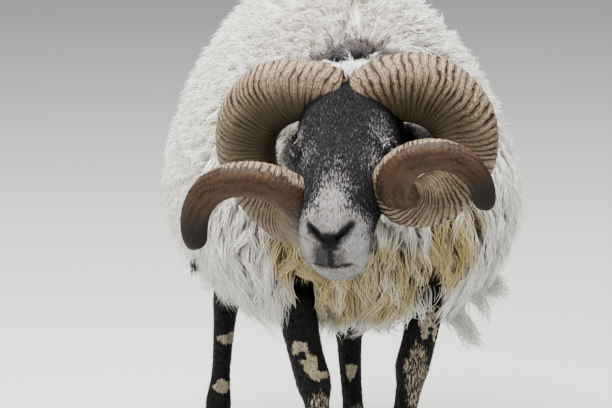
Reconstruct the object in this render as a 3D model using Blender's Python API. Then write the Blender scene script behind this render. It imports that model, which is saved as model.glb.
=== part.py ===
"""Blackface ram walking with its head lowered, as a life-size still model.

Metres, +Z up. The ram faces -Y and its left side is +X. It is modelled round
a point on the floor under its chest and then centred, so that the origin is
on the floor under the middle of the whole animal.
"""

import math
import random

import bmesh
import bpy
from mathutils import Euler, Matrix, Vector
from mathutils.bvhtree import BVHTree

# Clearance between touching pieces, and how sharp a corner still gets all of it
GAP = 0.0003
SHARPEST = 0.5

# Torso, to the tips of the wool: place along the body, half width, top, bottom
TORSO_STATIONS = (
    (-0.450, 0.062, 0.600, 0.480),
    (-0.425, 0.148, 0.680, 0.405),
    (-0.365, 0.215, 0.770, 0.352),
    (-0.270, 0.254, 0.838, 0.325),
    (-0.120, 0.272, 0.856, 0.302),
    (0.050, 0.272, 0.850, 0.292),
    (0.200, 0.256, 0.840, 0.305),
    (0.315, 0.214, 0.800, 0.350),
    (0.385, 0.145, 0.725, 0.430),
    (0.410, 0.060, 0.650, 0.520),
)
TORSO_WIDEST = 0.36
TORSO_POWER_ABOVE = 1.65
TORSO_POWER_BELOW = 2.3
TORSO_RINGS = 22
TORSO_SIDES = 36
# Point inside the torso from which the wool's clumps are spread
TORSO_HEART = Vector((0, -0.02, 0.52))

# Fleece: depth from the tips to the core that carries the clumps
FLEECE_INSET = 0.026
# Clumps of the torso and the neck: spacing of their crowns, and their rise
TORSO_CLUMPS = (0.092, 0.037)
NECK_CLUMPS = (0.062, 0.025)
CLUMP_TRIES = 2500
# Rings of points round a crown: share of the spacing, and points in the ring
CLUMP_RINGS = ((0.29, 5), (0.49, 7))
CLUMP_ROUNDNESS = 2.4
CLUMP_SINK = 0.25
CLUMP_LEAN = 0.45
CLUMP_LEAST = 0.018
# Crowns further apart than this many spacings share no valley
CLUMP_REACH = 1.6
NEAR_CROWNS = 6

# Locks: half width, ridge height, and rings from the sunk root to the tip
LOCK_BREADTH = 0.023
LOCK_THICKNESS = 0.013
LOCK_SWELL = 0.020
LOCK_RINGS = ((0.0, -1.1, 0.75), (0.30, 0.55, 1.0), (0.68, 0.75, 0.72), (1.0, 0.30, 0.10))
# How far locks differ: place in the row, height, flare outwards, sway, bend and size
LOCK_SCATTER = 0.15
LOCK_RISE = 0.012
LOCK_FLARE = 0.18
LOCK_SWAY = 0.12
LOCK_INWARD = 1.2
LOCK_BEND = 0.018
LOCK_SIZES = (0.85, 1.2)
# Chest locks: height of each row, its count, its spread to each side and its length
CHEST_MIDDLE_Y = -0.200
CHEST_ROWS = (
    (0.595, 7, 60.0, 0.088),
    (0.545, 8, 70.0, 0.086),
    (0.495, 9, 78.0, 0.084),
    (0.445, 11, 86.0, 0.078),
)
# Hem locks along each flank: height of each row, its first and last place and its count
HEM_ROWS = ((0.430, -0.140, 0.300, 7), (0.385, -0.110, 0.250, 6))
HEM_LENGTH = 0.085
HEM_SCATTER = 0.3
HEM_BACK = 0.2
HEM_INWARD = (-0.45, -0.15)
# Loose locks that hang or stand away on the ram's left: root, way, length, half width
LOOSE_FACING = Vector((0.2, -1, 0)).normalized()
LOOSE_BEND = 0.01
LOOSE_LOCKS = (
    ((0.145, -0.200, 0.395), (0.16, 0.05, -0.98), 0.155, 0.028),
    ((0.172, -0.180, 0.400), (0.24, 0.10, -0.95), 0.165, 0.022),
    ((0.225, -0.160, 0.375), (0.90, 0.05, -0.42), 0.070, 0.013),
    ((0.215, -0.180, 0.345), (0.75, 0.05, -0.66), 0.065, 0.012),
)

# Neck, from the back of the head to the shoulders
NECK_HEAD_END = Vector((-0.032, -0.500, 0.672))
NECK_BODY_END = Vector((0.0, -0.310, 0.615))
NECK_HEAD_SIZE = (0.080, 0.102)
NECK_BODY_SIZE = (0.165, 0.175)
NECK_INSET = 0.018
NECK_SWELL = 0.8
NECK_RINGS = 10
NECK_SIDES = 24
# The neck is smooth where the torso covers it: place, height, slope and fade
NECK_COVERED = (-0.385, 0.620, 0.35, 0.05)
NAPE_LOCKS = 6
NAPE_LENGTH = 0.034
# Nape tuft: how wide its roots spread, how far forward they sit, and how its locks fan out
NAPE_SPREAD = 0.35
NAPE_FORWARD = -0.55
NAPE_FAN = 0.6
NAPE_BACK = (0.7, 1.2)
NAPE_SLIM = 0.8

# Head: the point midway between the eyes, and how the face is turned
EYE_LEVEL = Vector((-0.066, -0.601, 0.648))
FACE_SLOPE = 55.0
HEAD_TILT = -2.0
HEAD_TURN = -19.3

# Head sections up the face: place, half width, bridge, jaw
HEAD_STATIONS = (
    (-0.171, 0.020, -0.036, -0.082),
    (-0.164, 0.037, -0.014, -0.096),
    (-0.147, 0.049, 0.007, -0.102),
    (-0.120, 0.054, 0.024, -0.104),
    (-0.088, 0.058, 0.035, -0.108),
    (-0.050, 0.068, 0.042, -0.126),
    (-0.010, 0.076, 0.044, -0.146),
    (0.030, 0.077, 0.045, -0.152),
    (0.065, 0.073, 0.041, -0.138),
    (0.100, 0.061, 0.024, -0.118),
    (0.130, 0.040, -0.010, -0.095),
    (0.140, 0.018, -0.035, -0.070),
)
HEAD_RINGS = 20
HEAD_SIDES = 18
# Where the widest line lies between jaw and bridge, and how square and narrow the section is
HEAD_WIDEST = 0.62
HEAD_POWER = 2.3
JAW_NARROWING = 0.30
BROW_NARROWING = 0.10
# The muzzle leans a little to the ram's right: how far, and from where to where
NOSE_LEAN = 0.008
LEAN_START = -0.04
LEAN_SPAN = 0.09

# Nostrils: middle, long way and the three half sizes of the hollow
NOSTRIL_PLACE = (0.0205, -0.1365, 0.010)
NOSTRIL_WAY = (-0.80, -0.57, -0.18)
NOSTRIL_SIZE = (0.014, 0.005, 0.010)
NOSTRIL_FACING = Vector((0, -0.4, 0.9))

# Mouth: from the front of the lips back to each corner
MOUTH_FRONT = (-0.1700, -0.037)
MOUTH_BACK = (0.055, -0.022)
MOUTH_STEPS = 10
LIP_RADIUS = 0.0062
LIP_GROOVE = 0.0020

# Eyes: place, size, the way they look and how the lids open
EYE_PLACE = Vector((0.062, -0.006, -0.001))
EYE_RADIUS = 0.0165
EYE_WAY = Vector((0.74, 0.0, 0.67))
EYE_SLANT = 0.22
LID_LONG_ANGLE = 60.0
LID_HIGH_ANGLE = 40.0
LID_UPPER = 0.0042
LID_LOWER = 0.0030
LID_STEPS = 10
SOCKET_SIZE = (0.0165, 0.030, 0.022)
SOCKET_DEPTH = 0.003

# Ears: each bends back inside the loop of its horn, and the right one hangs
EAR_PATHS = {
    "left": (
        (0.052, 0.046, -0.062),
        (0.092, 0.056, -0.074),
        (0.124, 0.060, -0.094),
        (0.138, 0.054, -0.132),
    ),
    "right": (
        (-0.052, 0.046, -0.060),
        (-0.088, 0.038, -0.076),
        (-0.104, 0.026, -0.108),
        (-0.100, 0.014, -0.152),
    ),
}
EAR_BREADTH = 0.026
EAR_WALL = 0.0045
EAR_CUP = 0.011
EAR_OUTLINE = ((0.0, 0.50), (0.18, 0.66), (0.40, 0.95), (0.62, 1.0), (0.84, 0.70), (1.0, 0.16))

# Horns: each is a helix that shrinks towards its tip, set in the face's frame
HORN_FORMS = {
    "left": {
        "centre": Vector((0.0795, 0.0620, -0.0630)),
        "axis_out": 51.7,
        "axis_dip": 50.2,
        "radius": 0.0768,
        "shrink": 0.299,
        "advance": Vector((0.0616, -0.1194, 0.0627)),
        "start": -67.0,
        "turn": 506.0,
        "heft": 1.0,
        "tip_heft": 1.0,
    },
    "right": {
        "centre": Vector((0.0690, 0.0630, -0.0784)),
        "axis_out": 45.8,
        "axis_dip": 59.8,
        "radius": 0.0892,
        "shrink": 0.272,
        "advance": Vector((0.0694, -0.1474, 0.0436)),
        "start": -59.6,
        "turn": 500.0,
        "heft": 0.92,
        "tip_heft": 1.16,
    },
}
HORN_SUNK_TURN = 11.0
HORN_PARTING = 0.007
# Horn thickness from root to tip: share of the length, breadth and depth halved
HORN_STATIONS = (
    (0.00, 0.0480, 0.0340),
    (0.12, 0.0510, 0.0360),
    (0.35, 0.0430, 0.0350),
    (0.55, 0.0330, 0.0290),
    (0.75, 0.0235, 0.0210),
    (0.92, 0.0195, 0.0165),
    (0.975, 0.0172, 0.0145),
    (1.00, 0.0090, 0.0080),
)
HORN_RINGS = 42
HORN_SIDES = 10
HORN_POWER = 2.2
HORN_RIB = 0.045
# Keel down the horn's outer face: how far it stands out, and where round the horn
HORN_KEEL = 0.10
HORN_KEEL_ANGLE = math.radians(36)

# Legs: joints from the top down, each with its place and half sizes
# across and along the leg; the last one is the flat that the claws meet
SOLE_TOP = 0.034
LEG_JOINTS = {
    "front_left": (
        ((0.116, -0.270, 0.455), 0.042, 0.056),
        ((0.112, -0.275, 0.400), 0.034, 0.048),
        ((0.094, -0.290, 0.310), 0.027, 0.030),
        ((0.080, -0.299, 0.258), 0.027, 0.028),
        ((0.075, -0.298, 0.222), 0.021, 0.022),
        ((0.062, -0.292, 0.140), 0.0185, 0.0185),
        ((0.056, -0.288, 0.088), 0.024, 0.026),
        ((0.054, -0.303, 0.056), 0.022, 0.023),
        ((0.053, -0.316, SOLE_TOP), 0.028, 0.025),
    ),
    "front_right": (
        ((-0.112, -0.290, 0.455), 0.040, 0.052),
        ((-0.109, -0.315, 0.400), 0.034, 0.046),
        ((-0.097, -0.366, 0.312), 0.027, 0.030),
        ((-0.085, -0.393, 0.258), 0.027, 0.028),
        ((-0.080, -0.398, 0.222), 0.020, 0.021),
        ((-0.070, -0.402, 0.140), 0.0175, 0.0175),
        ((-0.064, -0.404, 0.088), 0.023, 0.025),
        ((-0.062, -0.420, 0.056), 0.021, 0.022),
        ((-0.061, -0.433, SOLE_TOP), 0.027, 0.025),
    ),
    "hind_left": (
        ((0.115, 0.135, 0.500), 0.055, 0.080),
        ((0.098, 0.060, 0.405), 0.036, 0.052),
        ((0.058, 0.028, 0.320), 0.026, 0.036),
        ((0.031, 0.040, 0.256), 0.024, 0.033),
        ((0.028, 0.036, 0.222), 0.021, 0.026),
        ((0.030, 0.014, 0.140), 0.018, 0.020),
        ((0.033, 0.002, 0.088), 0.022, 0.025),
        ((0.035, -0.014, 0.056), 0.020, 0.022),
        ((0.036, -0.027, SOLE_TOP), 0.026, 0.024),
    ),
    "hind_right": (
        ((-0.130, 0.250, 0.500), 0.055, 0.080),
        ((-0.142, 0.210, 0.405), 0.036, 0.052),
        ((-0.146, 0.236, 0.320), 0.026, 0.036),
        ((-0.151, 0.272, 0.256), 0.023, 0.033),
        ((-0.154, 0.270, 0.222), 0.020, 0.026),
        ((-0.162, 0.252, 0.140), 0.017, 0.019),
        ((-0.168, 0.242, 0.088), 0.022, 0.025),
        ((-0.170, 0.226, 0.056), 0.020, 0.022),
        ((-0.171, 0.213, SOLE_TOP), 0.026, 0.024),
    ),
}
LEG_SIDES = 10
LEG_RINGS = 17
FOOT_EDGE = 0.003
FETLOCK = 6
DEWCLAW_LENGTH = 0.020
DEWCLAW_RADIUS = 0.0065
DEWCLAW_TIP = 0.0029
DEWCLAW_APART = 0.011
DEWCLAW_BACK = 0.75
DEWCLAW_WAY = (0.0, 0.45, -0.9)

# Claws: two on each foot
CLAW_WIDTH = 0.025
CLAW_SPLIT = 0.005
CLAW_SLOPE = 0.012
CLAW_SIDES = 10
CLAW_TAPER = 0.35
# Rings of a claw: height, share of the slope, share of the width
CLAW_RINGS = ((0.0, 1.0, 1.0), (0.012, 0.92, 0.98), (SOLE_TOP - GAP, 0.55, 0.86))

# Tail, hanging from the rump
TAIL_PATH = (
    (0.000, 0.345, 0.640),
    (0.000, 0.382, 0.648),
    (0.002, 0.412, 0.638),
    (0.005, 0.430, 0.602),
    (0.008, 0.434, 0.540),
    (0.007, 0.428, 0.460),
    (0.004, 0.424, 0.395),
)
TAIL_SIZES = (
    (0.022, 0.010),
    (0.028, 0.012),
    (0.034, 0.015),
    (0.040, 0.020),
    (0.043, 0.026),
    (0.034, 0.024),
    (0.014, 0.012),
)
TAIL_SIDES = 8
# Locks of the tail: place along it, count and length
TAIL_LOCK_ROWS = ((2.4, 3, 0.085), (3.6, 4, 0.095), (4.7, 3, 0.090))
TAIL_LOCK_SLIM = 0.75
# How far out the roots of the tail's locks sit, across and behind
TAIL_ROOTS = (0.7, 0.5)

# Scrotum, hanging between the hind legs
SCROTUM_TOP = Vector((-0.035, 0.200, 0.400))
SCROTUM_DROP = 0.160
SCROTUM_RADIUS = 0.050
SCROTUM_NECK = 0.55
SCROTUM_FLATNESS = 0.8
# Where down its length the pouch begins to round off
SCROTUM_ROUNDING = 0.8
SCROTUM_RINGS = 7
SCROTUM_SIDES = 10

COLOURS = {
    "wool": (0.78, 0.76, 0.70),
    "face_hair": (0.035, 0.035, 0.038),
    "leg_hair": (0.030, 0.028, 0.027),
    "ear_hair": (0.45, 0.42, 0.38),
    "horn": (0.46, 0.37, 0.26),
    "eye": (0.05, 0.03, 0.015),
    "claw": (0.05, 0.045, 0.04),
}
ROUGHNESS = {"eye": 0.08, "horn": 0.5, "claw": 0.55}


def clear_scene():
    """Remove what the scene holds."""
    for thing in list(bpy.data.objects):
        bpy.data.objects.remove(thing)


def finish_of(name):
    """Return the material of one finish, made on first use."""
    material = bpy.data.materials.get(name)
    if material:
        return material
    material = bpy.data.materials.new(name)
    material.use_nodes = True
    shader = material.node_tree.nodes["Principled BSDF"]
    shader.inputs["Base Color"].default_value = (*COLOURS[name], 1.0)
    shader.inputs["Roughness"].default_value = ROUGHNESS.get(name, 0.9)
    return material


def read_stations(stations, place):
    """Read a smooth curve through (place, value, ...) stations."""
    if place <= stations[0][0]:
        return stations[0][1:]
    if place >= stations[-1][0]:
        return stations[-1][1:]
    k = 0
    while stations[k + 1][0] < place:
        k += 1
    low, high = stations[k], stations[k + 1]
    before = stations[max(k - 1, 0)]
    after = stations[min(k + 2, len(stations) - 1)]
    span = high[0] - low[0]
    f = (place - low[0]) / span
    values = []
    for i in range(1, len(low)):
        slope_low = (high[i] - before[i]) / (high[0] - before[0]) * span
        slope_high = (after[i] - low[i]) / (after[0] - low[0]) * span
        value = low[i] * (1 + 2 * f) * (1 - f) ** 2
        value += high[i] * f * f * (3 - 2 * f)
        value += slope_low * f * (1 - f) ** 2
        value -= slope_high * f * f * (1 - f)
        values.append(value)
    return tuple(values)


def rounded(angle, power):
    """Return the two sides of a superellipse of unit size at an angle."""
    c, s = math.cos(angle), math.sin(angle)
    return (
        math.copysign(abs(c) ** (2 / power), c),
        math.copysign(abs(s) ** (2 / power), s),
    )


def loft(name, rings, finish, looped=False):
    """Skin closed rings of equal count into one closed object, capped or looped."""
    work = bmesh.new()
    sides = len(rings[0])
    rows = [[work.verts.new(point) for point in ring] for ring in rings]
    for low, high in zip(rows, rows[1:] + rows[:1] if looped else rows[1:]):
        for i in range(sides):
            j = (i + 1) % sides
            work.faces.new((low[i], low[j], high[j], high[i]))
    if not looped:
        work.faces.new(list(reversed(rows[0])))
        work.faces.new(rows[-1])
    bmesh.ops.triangulate(work, faces=work.faces[:])
    bmesh.ops.recalc_face_normals(work, faces=work.faces[:])
    mesh = bpy.data.meshes.new(name)
    work.to_mesh(mesh)
    work.free()
    mesh.materials.append(finish_of(finish))
    thing = bpy.data.objects.new(name, mesh)
    bpy.context.scene.collection.objects.link(thing)
    return thing


def ring_round(centre, across, along, half_across, half_along, sides, power=2.0):
    """Return a closed ring of points round a centre, in the plane of two directions."""
    points = []
    for i in range(sides):
        c, s = rounded(2 * math.pi * i / sides, power)
        points.append(centre + across * (c * half_across) + along * (s * half_along))
    return points


def sweep(name, path, sizes, sides, finish, ahead=Vector((0, -1, 0))):
    """Skin a tube along a path; sizes are half sizes across and ahead."""
    path = [Vector(point) for point in path]
    rings = []
    for i, point in enumerate(path):
        step = path[min(i + 1, len(path) - 1)] - path[max(i - 1, 0)]
        step.normalize()
        across = ahead.cross(step).normalized()
        forward = step.cross(across).normalized()
        rings.append(ring_round(point, across, forward, *sizes[i], sides))
    return loft(name, rings, finish)


def blob(name, centre, ways, sizes, finish):
    """Rounded lump with its own three directions and half sizes."""
    work = bmesh.new()
    bmesh.ops.create_uvsphere(work, u_segments=10, v_segments=7, radius=1.0)
    for vertex in work.verts:
        place = centre.copy()
        for way, size, share in zip(ways, sizes, vertex.co):
            place += way * (size * share)
        vertex.co = place
    work.normal_update()
    bmesh.ops.recalc_face_normals(work, faces=work.faces[:])
    mesh = bpy.data.meshes.new(name)
    work.to_mesh(mesh)
    work.free()
    mesh.materials.append(finish_of(finish))
    thing = bpy.data.objects.new(name, mesh)
    bpy.context.scene.collection.objects.link(thing)
    return thing


def apply_modifiers(thing):
    """Put the shape that the modifiers give into the object's own mesh."""
    depsgraph = bpy.context.evaluated_depsgraph_get()
    mesh = bpy.data.meshes.new_from_object(thing.evaluated_get(depsgraph))
    thing.modifiers.clear()
    thing.data = mesh


def keep_largest(thing):
    """Keep the largest closed surface of an object."""
    work = bmesh.new()
    work.from_mesh(thing.data)
    unseen = set(work.faces)
    groups = []
    while unseen:
        group = [unseen.pop()]
        for face in group:
            for edge in face.edges:
                for other in edge.link_faces:
                    if other in unseen:
                        unseen.remove(other)
                        group.append(other)
        groups.append(group)
    groups.sort(key=lambda faces: sum(face.calc_area() for face in faces))
    loose = [face for group in groups[:-1] for face in group]
    bmesh.ops.delete(work, geom=loose, context="FACES")
    work.to_mesh(thing.data)
    work.free()


def combine(thing, operation, others):
    """Join other closed objects to one, or cut them out of it, and remove them."""
    group = bpy.data.collections.new("pieces")
    for other in others:
        group.objects.link(other)
    modifier = thing.modifiers.new("combine", "BOOLEAN")
    modifier.operation = operation
    modifier.operand_type = "COLLECTION"
    modifier.collection = group
    modifier.solver = "MANIFOLD"
    apply_modifiers(thing)
    for other in others:
        bpy.data.objects.remove(other)
    bpy.data.collections.remove(group)
    keep_largest(thing)


def grown_copy(thing):
    """Copy an object with every face moved out by a little more than the gap."""
    copy = thing.copy()
    copy.data = thing.data.copy()
    bpy.context.scene.collection.objects.link(copy)
    work = bmesh.new()
    work.from_mesh(copy.data)
    moves = []
    for vertex in work.verts:
        least = min(vertex.normal.dot(face.normal) for face in vertex.link_faces)
        moves.append(vertex.normal * (1.3 * GAP / max(least, SHARPEST)))
    for vertex, move in zip(work.verts, moves):
        vertex.co += move
    work.to_mesh(copy.data)
    work.free()
    return copy


def make_room(thing, *neighbours):
    """Cut the neighbours out of an object with a small clearance."""
    bpy.context.view_layer.update()
    combine(thing, "DIFFERENCE", [grown_copy(neighbour) for neighbour in neighbours])


def torso_point(share, angle, inset=FLEECE_INSET):
    """Return a point on or inside the torso, from share -1 at the chest to 1 at the rump."""
    first, last = TORSO_STATIONS[0][0], TORSO_STATIONS[-1][0]
    middle, half = (first + last) / 2, (last - first) / 2
    half_width, top, bottom = read_stations(TORSO_STATIONS, middle + half * share)
    half_width, top, bottom = half_width - inset, top - inset, bottom + inset
    place = middle + (half - inset) * share
    widest = bottom + TORSO_WIDEST * (top - bottom)
    above = math.sin(angle) > 0
    c, s = rounded(angle, TORSO_POWER_ABOVE if above else TORSO_POWER_BELOW)
    reach = top - widest if above else widest - bottom
    return Vector((half_width * c, place, widest + reach * s))


def neck_point(share, angle, inset=NECK_INSET):
    """Return a point of the neck, from share -1 in the head to 1 in the shoulders."""
    across = Vector((1, 0, 0))
    upright = across.cross(NECK_HEAD_END - NECK_BODY_END).normalized()
    along = 0.5 - 0.5 * share
    centre = NECK_BODY_END.lerp(NECK_HEAD_END, along)
    half = [low + (high - low) * along ** NECK_SWELL - inset for low, high in zip(NECK_BODY_SIZE, NECK_HEAD_SIZE)]
    return centre + across * (math.cos(angle) * half[0]) + upright * (math.sin(angle) * half[1])


def core_tree(read_point, rings, sides):
    """Return a search tree of a closed smooth core that the wool stands on."""
    points = []
    faces = []
    for i in range(rings):
        share = -math.cos(math.pi * i / (rings - 1))
        points += [read_point(share, 2 * math.pi * k / sides) for k in range(sides)]
    for i in range(rings - 1):
        for k in range(sides):
            low, high = i * sides, (i + 1) * sides
            faces.append((low + k, low + (k + 1) % sides, high + (k + 1) % sides, high + k))
    faces.append(tuple(reversed(range(sides))))
    faces.append(tuple(range((rings - 1) * sides, rings * sides)))
    return BVHTree.FromPolygons(points, faces)


def strike(core, start, way):
    """Return where a ray from inside leaves the core, and the way out there."""
    point, normal = core.ray_cast(start, way)[:2]
    if normal.dot(way) < 0:
        normal = -normal
    return point, normal


def lie_of(out, downward=0.75):
    """Return the way that wool lies on a surface: down and back."""
    way = Vector((0, 1 - downward, -downward))
    way -= out * way.dot(out)
    if way.length < 0.05:
        way = Vector((0, 1, 0)) - out * out.y
    return way.normalized()


def neck_bared(point):
    """Return how far a point of the neck is clear of the torso, from 0 to 1."""
    place, height, slope, fade = NECK_COVERED
    return min(max((place + slope * (point.z - height) - point.y) / fade, 0.0), 1.0)


def fleece(name, core, middle, clumps, draw, bared=lambda point: 1.0):
    """Closed surface of rounded clumps set close together on a core."""
    spacing, rise = clumps
    crowns = []
    for _ in range(CLUMP_TRIES):
        way = Vector([draw.gauss(0, 1) for _ in range(3)]).normalized()
        point = strike(core, middle, way)[0]
        if all((point - crown).length > spacing for crown in crowns):
            crowns.append(point)
    points = list(crowns)

    def add(point):
        """Keep a point, moved onto the core, unless another is too near."""
        point = strike(core, middle, (point - middle).normalized())[0]
        if all((point - other).length > CLUMP_LEAST for other in points):
            points.append(point)

    for crown in crowns:
        out = strike(core, middle, (crown - middle).normalized())[1]
        near = sorted(crowns, key=lambda other: (other - crown).length)[1:NEAR_CROWNS + 1]
        for other in near:
            add((crown + other) / 2)
        for k, other in enumerate(near):
            for third in near[k + 1:]:
                if (other - third).length < CLUMP_REACH * spacing:
                    add((crown + other + third) / 3)
        side = out.orthogonal().normalized()
        for share, count in CLUMP_RINGS:
            turn = draw.uniform(0, math.pi)
            for k in range(count):
                angle = turn + 2 * math.pi * k / count
                round_way = side * math.cos(angle) + out.cross(side) * math.sin(angle)
                add(crown + round_way * (spacing * share))
    work = bmesh.new()
    for point in points:
        work.verts.new((point - middle).normalized())
    bmesh.ops.convex_hull(work, input=work.verts[:])
    work.verts.ensure_lookup_table()
    for vertex, point in zip(work.verts[:], points):
        out = strike(core, middle, (point - middle).normalized())[1]
        reach = sorted((point - crown).length for crown in crowns)[:2]
        valley = 2 * reach[0] / (reach[0] + reach[1])
        lift = rise * (1 - valley ** CLUMP_ROUNDNESS) - CLUMP_SINK * rise
        lean = CLUMP_LEAN * rise * (1 - valley)
        vertex.co = point + (out * lift + lie_of(out) * lean) * bared(point)
    work.normal_update()
    bmesh.ops.recalc_face_normals(work, faces=work.faces[:])
    mesh = bpy.data.meshes.new(name)
    work.to_mesh(mesh)
    work.free()
    mesh.materials.append(finish_of("wool"))
    thing = bpy.data.objects.new(name, mesh)
    bpy.context.scene.collection.objects.link(thing)
    return thing


def make_lock(root, out, way, length, breadth, bend):
    """One flat lock that leaves the surface, bends along its way and tapers."""
    way = way.normalized()
    side = way.cross(out).normalized()
    rings = []
    for share, swell, size in LOCK_RINGS:
        centre = root + out * (LOCK_SWELL * swell) + way * (length * share) + side * (bend * share * share)
        broad = side * (breadth * size)
        rings.append([centre - broad, centre + out * (LOCK_THICKNESS * size), centre + broad])
    return loft("lock", rings, "wool")


def hanging_row(core, start, spread, count, length, draw):
    """Row of locks hanging round the front of a core, from one side to the other."""
    locks = []
    for k in range(count):
        share = -1 + 2 * (k + 0.5 + draw.uniform(-LOCK_SCATTER, LOCK_SCATTER)) / count
        angle = math.radians(spread * share)
        outward = Vector((math.sin(angle), -math.cos(angle), 0))
        root = strike(core, start, outward)[0] + Vector((0, 0, draw.uniform(-LOCK_RISE, LOCK_RISE)))
        way = outward * draw.uniform(0.0, LOCK_FLARE) + Vector((draw.uniform(-LOCK_SWAY, LOCK_SWAY), 0, -1))
        way.x *= 1 - LOCK_INWARD * abs(share)
        breadth = LOCK_BREADTH * draw.uniform(*LOCK_SIZES)
        size = length * draw.uniform(*LOCK_SIZES)
        locks.append(make_lock(root, outward, way, size, breadth, draw.uniform(-LOCK_BEND, LOCK_BEND)))
    return locks


def build_torso():
    """Barrel, chest, back and rump, with the clumps and locks of the fleece."""
    draw = random.Random(11)
    core = core_tree(torso_point, TORSO_RINGS, TORSO_SIDES)
    torso = fleece("torso", core, TORSO_HEART, TORSO_CLUMPS, draw)
    locks = []
    for height, count, spread, length in CHEST_ROWS:
        locks += hanging_row(core, Vector((0, CHEST_MIDDLE_Y, height)), spread, count, length, draw)
    for height, first, last, count in HEM_ROWS:
        for outward in (Vector((1, 0, 0)), Vector((-1, 0, 0))):
            for k in range(count):
                along = first + (last - first) * (k + draw.uniform(-HEM_SCATTER, HEM_SCATTER)) / (count - 1)
                root = strike(core, Vector((0, along, height)), outward)[0]
                way = Vector((0, draw.uniform(0.0, HEM_BACK), -1)) + outward * draw.uniform(*HEM_INWARD)
                size = HEM_LENGTH * draw.uniform(*LOCK_SIZES)
                bend = draw.uniform(-LOCK_BEND, LOCK_BEND)
                locks.append(make_lock(root, outward, way, size, LOCK_BREADTH, bend))
    for root, way, length, breadth in LOOSE_LOCKS:
        locks.append(make_lock(Vector(root), LOOSE_FACING, Vector(way), length, breadth, LOOSE_BEND))
    combine(torso, "UNION", locks)
    return torso


def build_neck():
    """Short thick neck with its clumps, and the locks of the tuft at the nape."""
    draw = random.Random(5)
    core = core_tree(neck_point, NECK_RINGS, NECK_SIDES)
    middle = (NECK_HEAD_END + NECK_BODY_END) / 2
    neck = fleece("neck", core, middle, NECK_CLUMPS, draw, neck_bared)
    locks = []
    for k in range(NAPE_LOCKS):
        across = -1 + 2 * k / (NAPE_LOCKS - 1)
        root = strike(core, middle, Vector((NAPE_SPREAD * across, NAPE_FORWARD, 1)).normalized())[0]
        way = Vector((NAPE_FAN * across, draw.uniform(*NAPE_BACK), 0.5))
        out = Vector((NAPE_FAN / 2 * across, -1, 0.2)).normalized()
        length = NAPE_LENGTH * draw.uniform(*LOCK_SIZES)
        locks.append(make_lock(root, out, way, length, LOCK_BREADTH * NAPE_SLIM, LOCK_BEND / 3))
    return neck, locks


def head_turning():
    """Return the matrix from the face's frame to the ram's."""
    angles = [math.radians(a) for a in (FACE_SLOPE, HEAD_TILT, HEAD_TURN)]
    return Matrix.Translation(EYE_LEVEL) @ Euler(angles).to_matrix().to_4x4()


def place_on_head(thing):
    """Turn a mesh built in the face's frame to where the head is."""
    thing.data.transform(head_turning())


def head_point(place, angle):
    """Return a point of the head's surface, in the face's frame."""
    half_width, bridge, jaw = read_stations(HEAD_STATIONS, place)
    middle = jaw + HEAD_WIDEST * (bridge - jaw)
    c, s = rounded(angle, HEAD_POWER)
    reach = bridge - middle if s > 0 else middle - jaw
    narrow = 1 - (JAW_NARROWING if s < 0 else BROW_NARROWING) * s * s
    lean = NOSE_LEAN * min(max((LEAN_START - place) / LEAN_SPAN, 0.0), 1.0)
    return Vector((half_width * c * narrow - lean, place, middle + reach * s))


def eye_ways(sign):
    """Return the way an eye looks, its long way and its high way."""
    out = EYE_WAY.normalized()
    out.x *= sign
    long_way = Vector((EYE_SLANT * sign, 1.0, 0.0))
    long_way = (long_way - out * long_way.dot(out)).normalized()
    high_way = out.cross(long_way) * sign
    return out, long_way, high_way


def eye_centre(sign):
    """Return the middle of an eyeball, in the face's frame."""
    return Vector((EYE_PLACE.x * sign, EYE_PLACE.y, EYE_PLACE.z))


def make_lids(sign):
    """Upper and lower lid as one ring that lies on the eyeball."""
    out, long_way, high_way = eye_ways(sign)
    rings = []
    for k in range(LID_STEPS):
        angle = 2 * math.pi * k / LID_STEPS
        c, s = math.cos(angle), math.sin(angle)
        open_angle = math.radians(LID_HIGH_ANGLE + (LID_LONG_ANGLE - LID_HIGH_ANGLE) * c * c)
        round_way = long_way * c + high_way * s
        ray = out * math.cos(open_angle) + round_way * math.sin(open_angle)
        tangent = out * -math.sin(open_angle) + round_way * math.cos(open_angle)
        centre = eye_centre(sign) + ray * (EYE_RADIUS + 0.001)
        radius = LID_LOWER + (LID_UPPER - LID_LOWER) * (0.5 + 0.5 * s)
        rings.append(ring_round(centre, tangent, ray, radius * 1.5, radius, 6))
    return loft("lids", rings, "face_hair", looped=True)


def mouth_path(grow):
    """Return points along the mouth from corner to corner, moved out by a distance."""
    path = []
    for k in range(MOUTH_STEPS + 1):
        t = -1 + 2 * k / MOUTH_STEPS
        place = MOUTH_FRONT[0] + MOUTH_BACK[0] * abs(t) ** 1.6
        height = MOUTH_FRONT[1] + MOUTH_BACK[1] * abs(t) ** 1.5
        angles = [math.radians(-80 + 2 * i) for i in range(70)]
        side = min((head_point(place, a) for a in angles), key=lambda point: abs(point.z - height))
        middle = head_point(place, math.pi / 2).x
        x = middle + (side.x - middle) * math.sin(math.pi / 2 * min(1.0, 1.7 * abs(t))) * math.copysign(1, t)
        outward = Vector((x - middle, 0.7 * (place + 0.10), 0)).normalized()
        path.append(Vector((x, place, height)) + outward * grow)
    return path


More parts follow.
